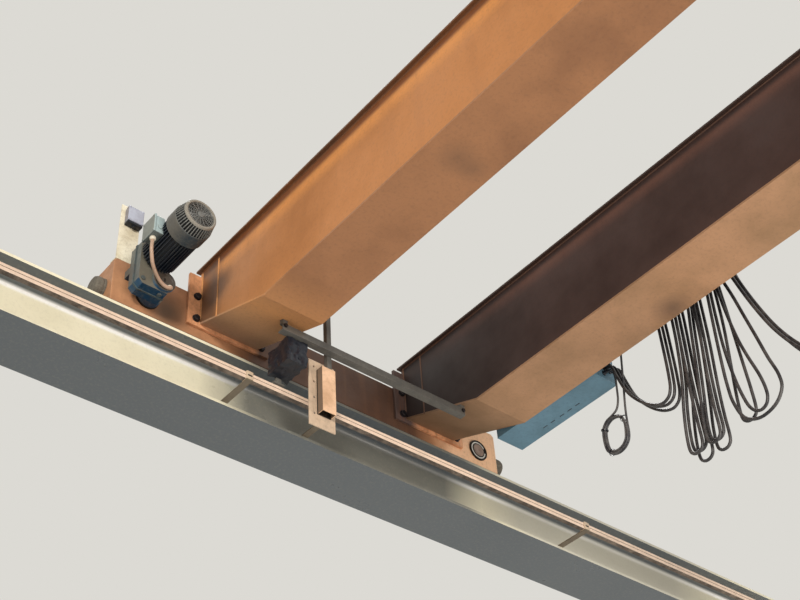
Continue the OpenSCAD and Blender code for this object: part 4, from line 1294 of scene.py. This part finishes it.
# The tube is tan; its left side is painted brown as shade, and inside its mouth, with
# a strip beside the plate, it is painted black as shade.
wear(enamel(
    "tan_tube_enamel", "#e3bd9d", "#b89272", "#846a54", patch_mm=80,
    shades=[
        # painted shade on the left side
        ("faces", x_axis, 0, -0.5, -0.9, "#6c5c4e", 0.95),
        # painted shade inside the mouth and on a strip beside the plate
        ("place", y_axis, -0.419, 0.008, 0.004, "#17130f", 1.0),
    ],
), "towing_tube")
# Blue-grey enamel is the one cool colour among the browns; its faces that look
# along +Y are painted dark as shade.
wear(enamel(
    "blue_cabinet_enamel", "#62889e", "#52707f", "#39444a", patch_mm=200, patch_share=0.3,
    # painted shade on the faces that look along +Y
    shades=[("faces", y_axis, 0, 0.5, 0.95, "#1d2830", 0.85)],
), "control_cabinet", "cabinet_door")
# Small irons are dark with dust on them, so they read as lines rather than forms.
wear(
    enamel("dark_bracket_enamel", "#36342f", "#57503f", "#6b6353", patch_mm=60, grit_share=0.5),
    "cabinet_brackets", "festoon_brackets", "cable_trolleys", "cable_clamps",
)
# Mid-grey enamel lets the long bar stand clear of the brown web behind it.
wear(
    enamel("grey_bar_enamel", "#605e5a", "#4b4a48", "#7d776c", patch_mm=90, grit_share=0.4),
    "collector_bar", "collector_post", "collector_shoe",
)
# The axles' painted ends are a soft pinkish brown in their dark rings.
wear(
    enamel("dusty_axle_enamel", "#8d7567", "#6d5b50", "#7c6c60", patch_mm=30, grit_share=0.4),
    *[piece.name for piece in axle_pieces],
)
# The arms are dusty brown and painted dark as the shade on their undersides, so they
# sink into the shade of the beam.
wear(
    enamel("brown_arm_enamel", "#6e6250", "#5a4f42", "#80735f", patch_mm=60, grit_share=0.4),
    "conductor_brackets",
)
print("enamels:", sum("enamel" in material.name for material in bpy.data.materials))

# %% [markdown]
# ### Bare metal
# Rolled steel and cast iron show no coat, so they are metallic, but oxide and
# dust make them rough and dark. Only the spring rings keep a bright face.

# %% Metals
def bare_metal(name, metal, oxide, roughness, speckle_mm=25, share=0.5):
    material, tree, shader, place = blank(name, roughness, metallic=0.85)
    grain = {"Vector": place, "Scale": per_metre(speckle_mm), "Detail": 6.0, "Roughness": 0.65}
    stains = add(tree, "TexNoise", grain).outputs["Fac"]
    colour = tinted(tree, linear(metal), stains, 0.42, 0.66, oxide, share)
    finish_surface(tree, shader, colour, stains, 0.3, 0.0004)
    return material


# Rolled rail steel: dull grey with brown oxide, a soft sheen on its edges.
wear(
    bare_metal("rolled_rail_steel", "#8b8780", "#6b5848", 0.45),
    "rail_near", "rail_far", "crab_rails", "rail_stitches",
)
# Blackened steel makes the bolt heads small dark dots.
wear(
    bare_metal("blackened_bolt_steel", "#3a3638", "#2a2326", 0.5, 12),
    "girder_bolt_sets", "small_bolts", "clip_bolts",
)
# Black cast iron frames each axle with a dark ring.
wear(
    bare_metal("black_bearing_iron", "#2a2827", "#3a3430", 0.5, 15),
    "bearing_castings", "cap_slots",
)
# Bright spring steel gives the thin light ring inside the dark one.
wear(bare_metal("bright_spring_steel", "#d8d4cc", "#8a8278", 0.3, 10, 0.4), "spring_rings")
# Rolled and worn iron, browner and rougher than the rail.
wear(
    bare_metal("cast_wheel_iron", "#7d7468", "#5a4a3c", 0.5, 20),
    "wheel_near_drive", "wheel_near_idle", "wheel_far_drive", "wheel_far_idle",
)
# Zinc has gone matt, so the track is a quiet pale line.
wear(bare_metal("galvanised_track_steel", "#9a9a94", "#77746c", 0.5, 30), "festoon_track")

# %% [markdown]
# ### Rubber and plastic
# Buffers are moulded rubber, cables have a PVC jacket, the conductor line is an
# extruded PVC cover that has gone pink with age. All three are dull, and dust
# makes them paler than new ones.

# %% Rubber and plastics
def moulded(name, body, dust, roughness, speck_mm, share, faces=()):
    material, tree, shader, place = blank(name, roughness)
    grain = {"Vector": place, "Scale": per_metre(speck_mm), "Detail": 6.0, "Roughness": 0.7}
    specks = add(tree, "TexNoise", grain).outputs["Fac"]
    normal = add(tree, "NewGeometry").outputs["Normal"]
    looks = add(tree, "SeparateXYZ", {"Vector": normal}).outputs
    colour = linear(body)
    for axis, start, full, tint, most in faces:
        colour = tinted(tree, colour, looks[axis], start, full, tint, most)
    colour = tinted(tree, colour, specks, 0.4, 0.68, dust, share)
    finish_surface(tree, shader, colour, specks, 0.4, 0.0005)
    return material


# Rubber under thick dust is matt and greenish grey.
wear(moulded("dusty_buffer_rubber", "#5f5a52", "#827c70", 0.9, 12, 0.8), "rubber_buffers")
# Black jackets with a dull shine along their tops make the loops legible.
wear(
    moulded("cable_jacket_pvc", "#222226", "#5c5958", 0.42, 60, 0.65),
    *[cable.name for cable in festoon_cables],
)
# The spare turns hold more dust and look greyer than the hanging cables.
wear(moulded("spare_jacket_pvc", "#2c2d33", "#6e6c6a", 0.42, 60, 0.7), "spare_cable_coil")
# The aged cover is pink, and its faces that look down are painted dark, for its slot
# and as painted shade; a thin bright stripe along the beam.
wear(moulded(
    "conductor_cover_pvc", "#dfc8b6", "#b3a08e", 0.6, 45, 0.45,
    # the dark slot and painted shade on the faces that look down
    faces=[(z_axis, -0.4, -0.7, "#33281f", 0.95)],
), "conductor_rail")
# The clips are a browner plastic that breaks the stripe at each arm.
wear(moulded("clip_pvc", "#c9b49c", "#8f8478", 0.55, 20, 0.5), "conductor_clips")
# The conduit is a beige line against the dark motor.
wear(moulded("conduit_pvc", "#b89a86", "#8f7d6e", 0.55, 25, 0.4), "motor_conduit_tubes")
# Nylon nuts end the conduit with a pale bead.
wear(moulded("conduit_nut_nylon", "#e4dccb", "#b7ac9a", 0.45, 15, 0.3), "conduit_nuts")
# Lavender-grey plastic, cool beside the cream plate; its faces that look left are
# painted darker as shade.
wear(moulded(
    "sensor_abs", "#c2c9dc", "#9896a8", 0.4, 20, 0.4,
    # painted shade on the faces that look left
    faces=[(x_axis, -0.6, -0.95, "#6d625e", 0.8)],
), "switch_cover")
# Soft blue-black rubber whose creases catch a little light.
wear(
    moulded("collector_shroud_rubber", "#10141e", "#282e3a", 0.35, 18, 0.5),
    "switch_base", "collector_shroud", "cabinet_glands", "cable_sleeves", "coil_ties",
)
# Cast aluminium under dust doesn't shine, so it's a pale blue-grey box; its faces
# that look left are painted tan as the lit side, and its underside is painted dark as
# shade.
wear(moulded(
    "dusty_cast_aluminium", "#a9bcc0", "#98a09a", 0.5, 30, 0.4,
    # painted light on the faces that look left, painted shade on the underside
    faces=[(x_axis, -0.5, -0.95, "#75736a", 0.85), (z_axis, -0.5, -0.95, "#20272c", 0.9)],
), "terminal_box_castings")
# What lies behind the grille gets no light and is nearly black.
wear(moulded("shadowed_fan_drum", "#0e1013", "#1a1c20", 0.8, 30, 0.4), "fan_cover_inside")
print("materials:", len(bpy.data.materials))
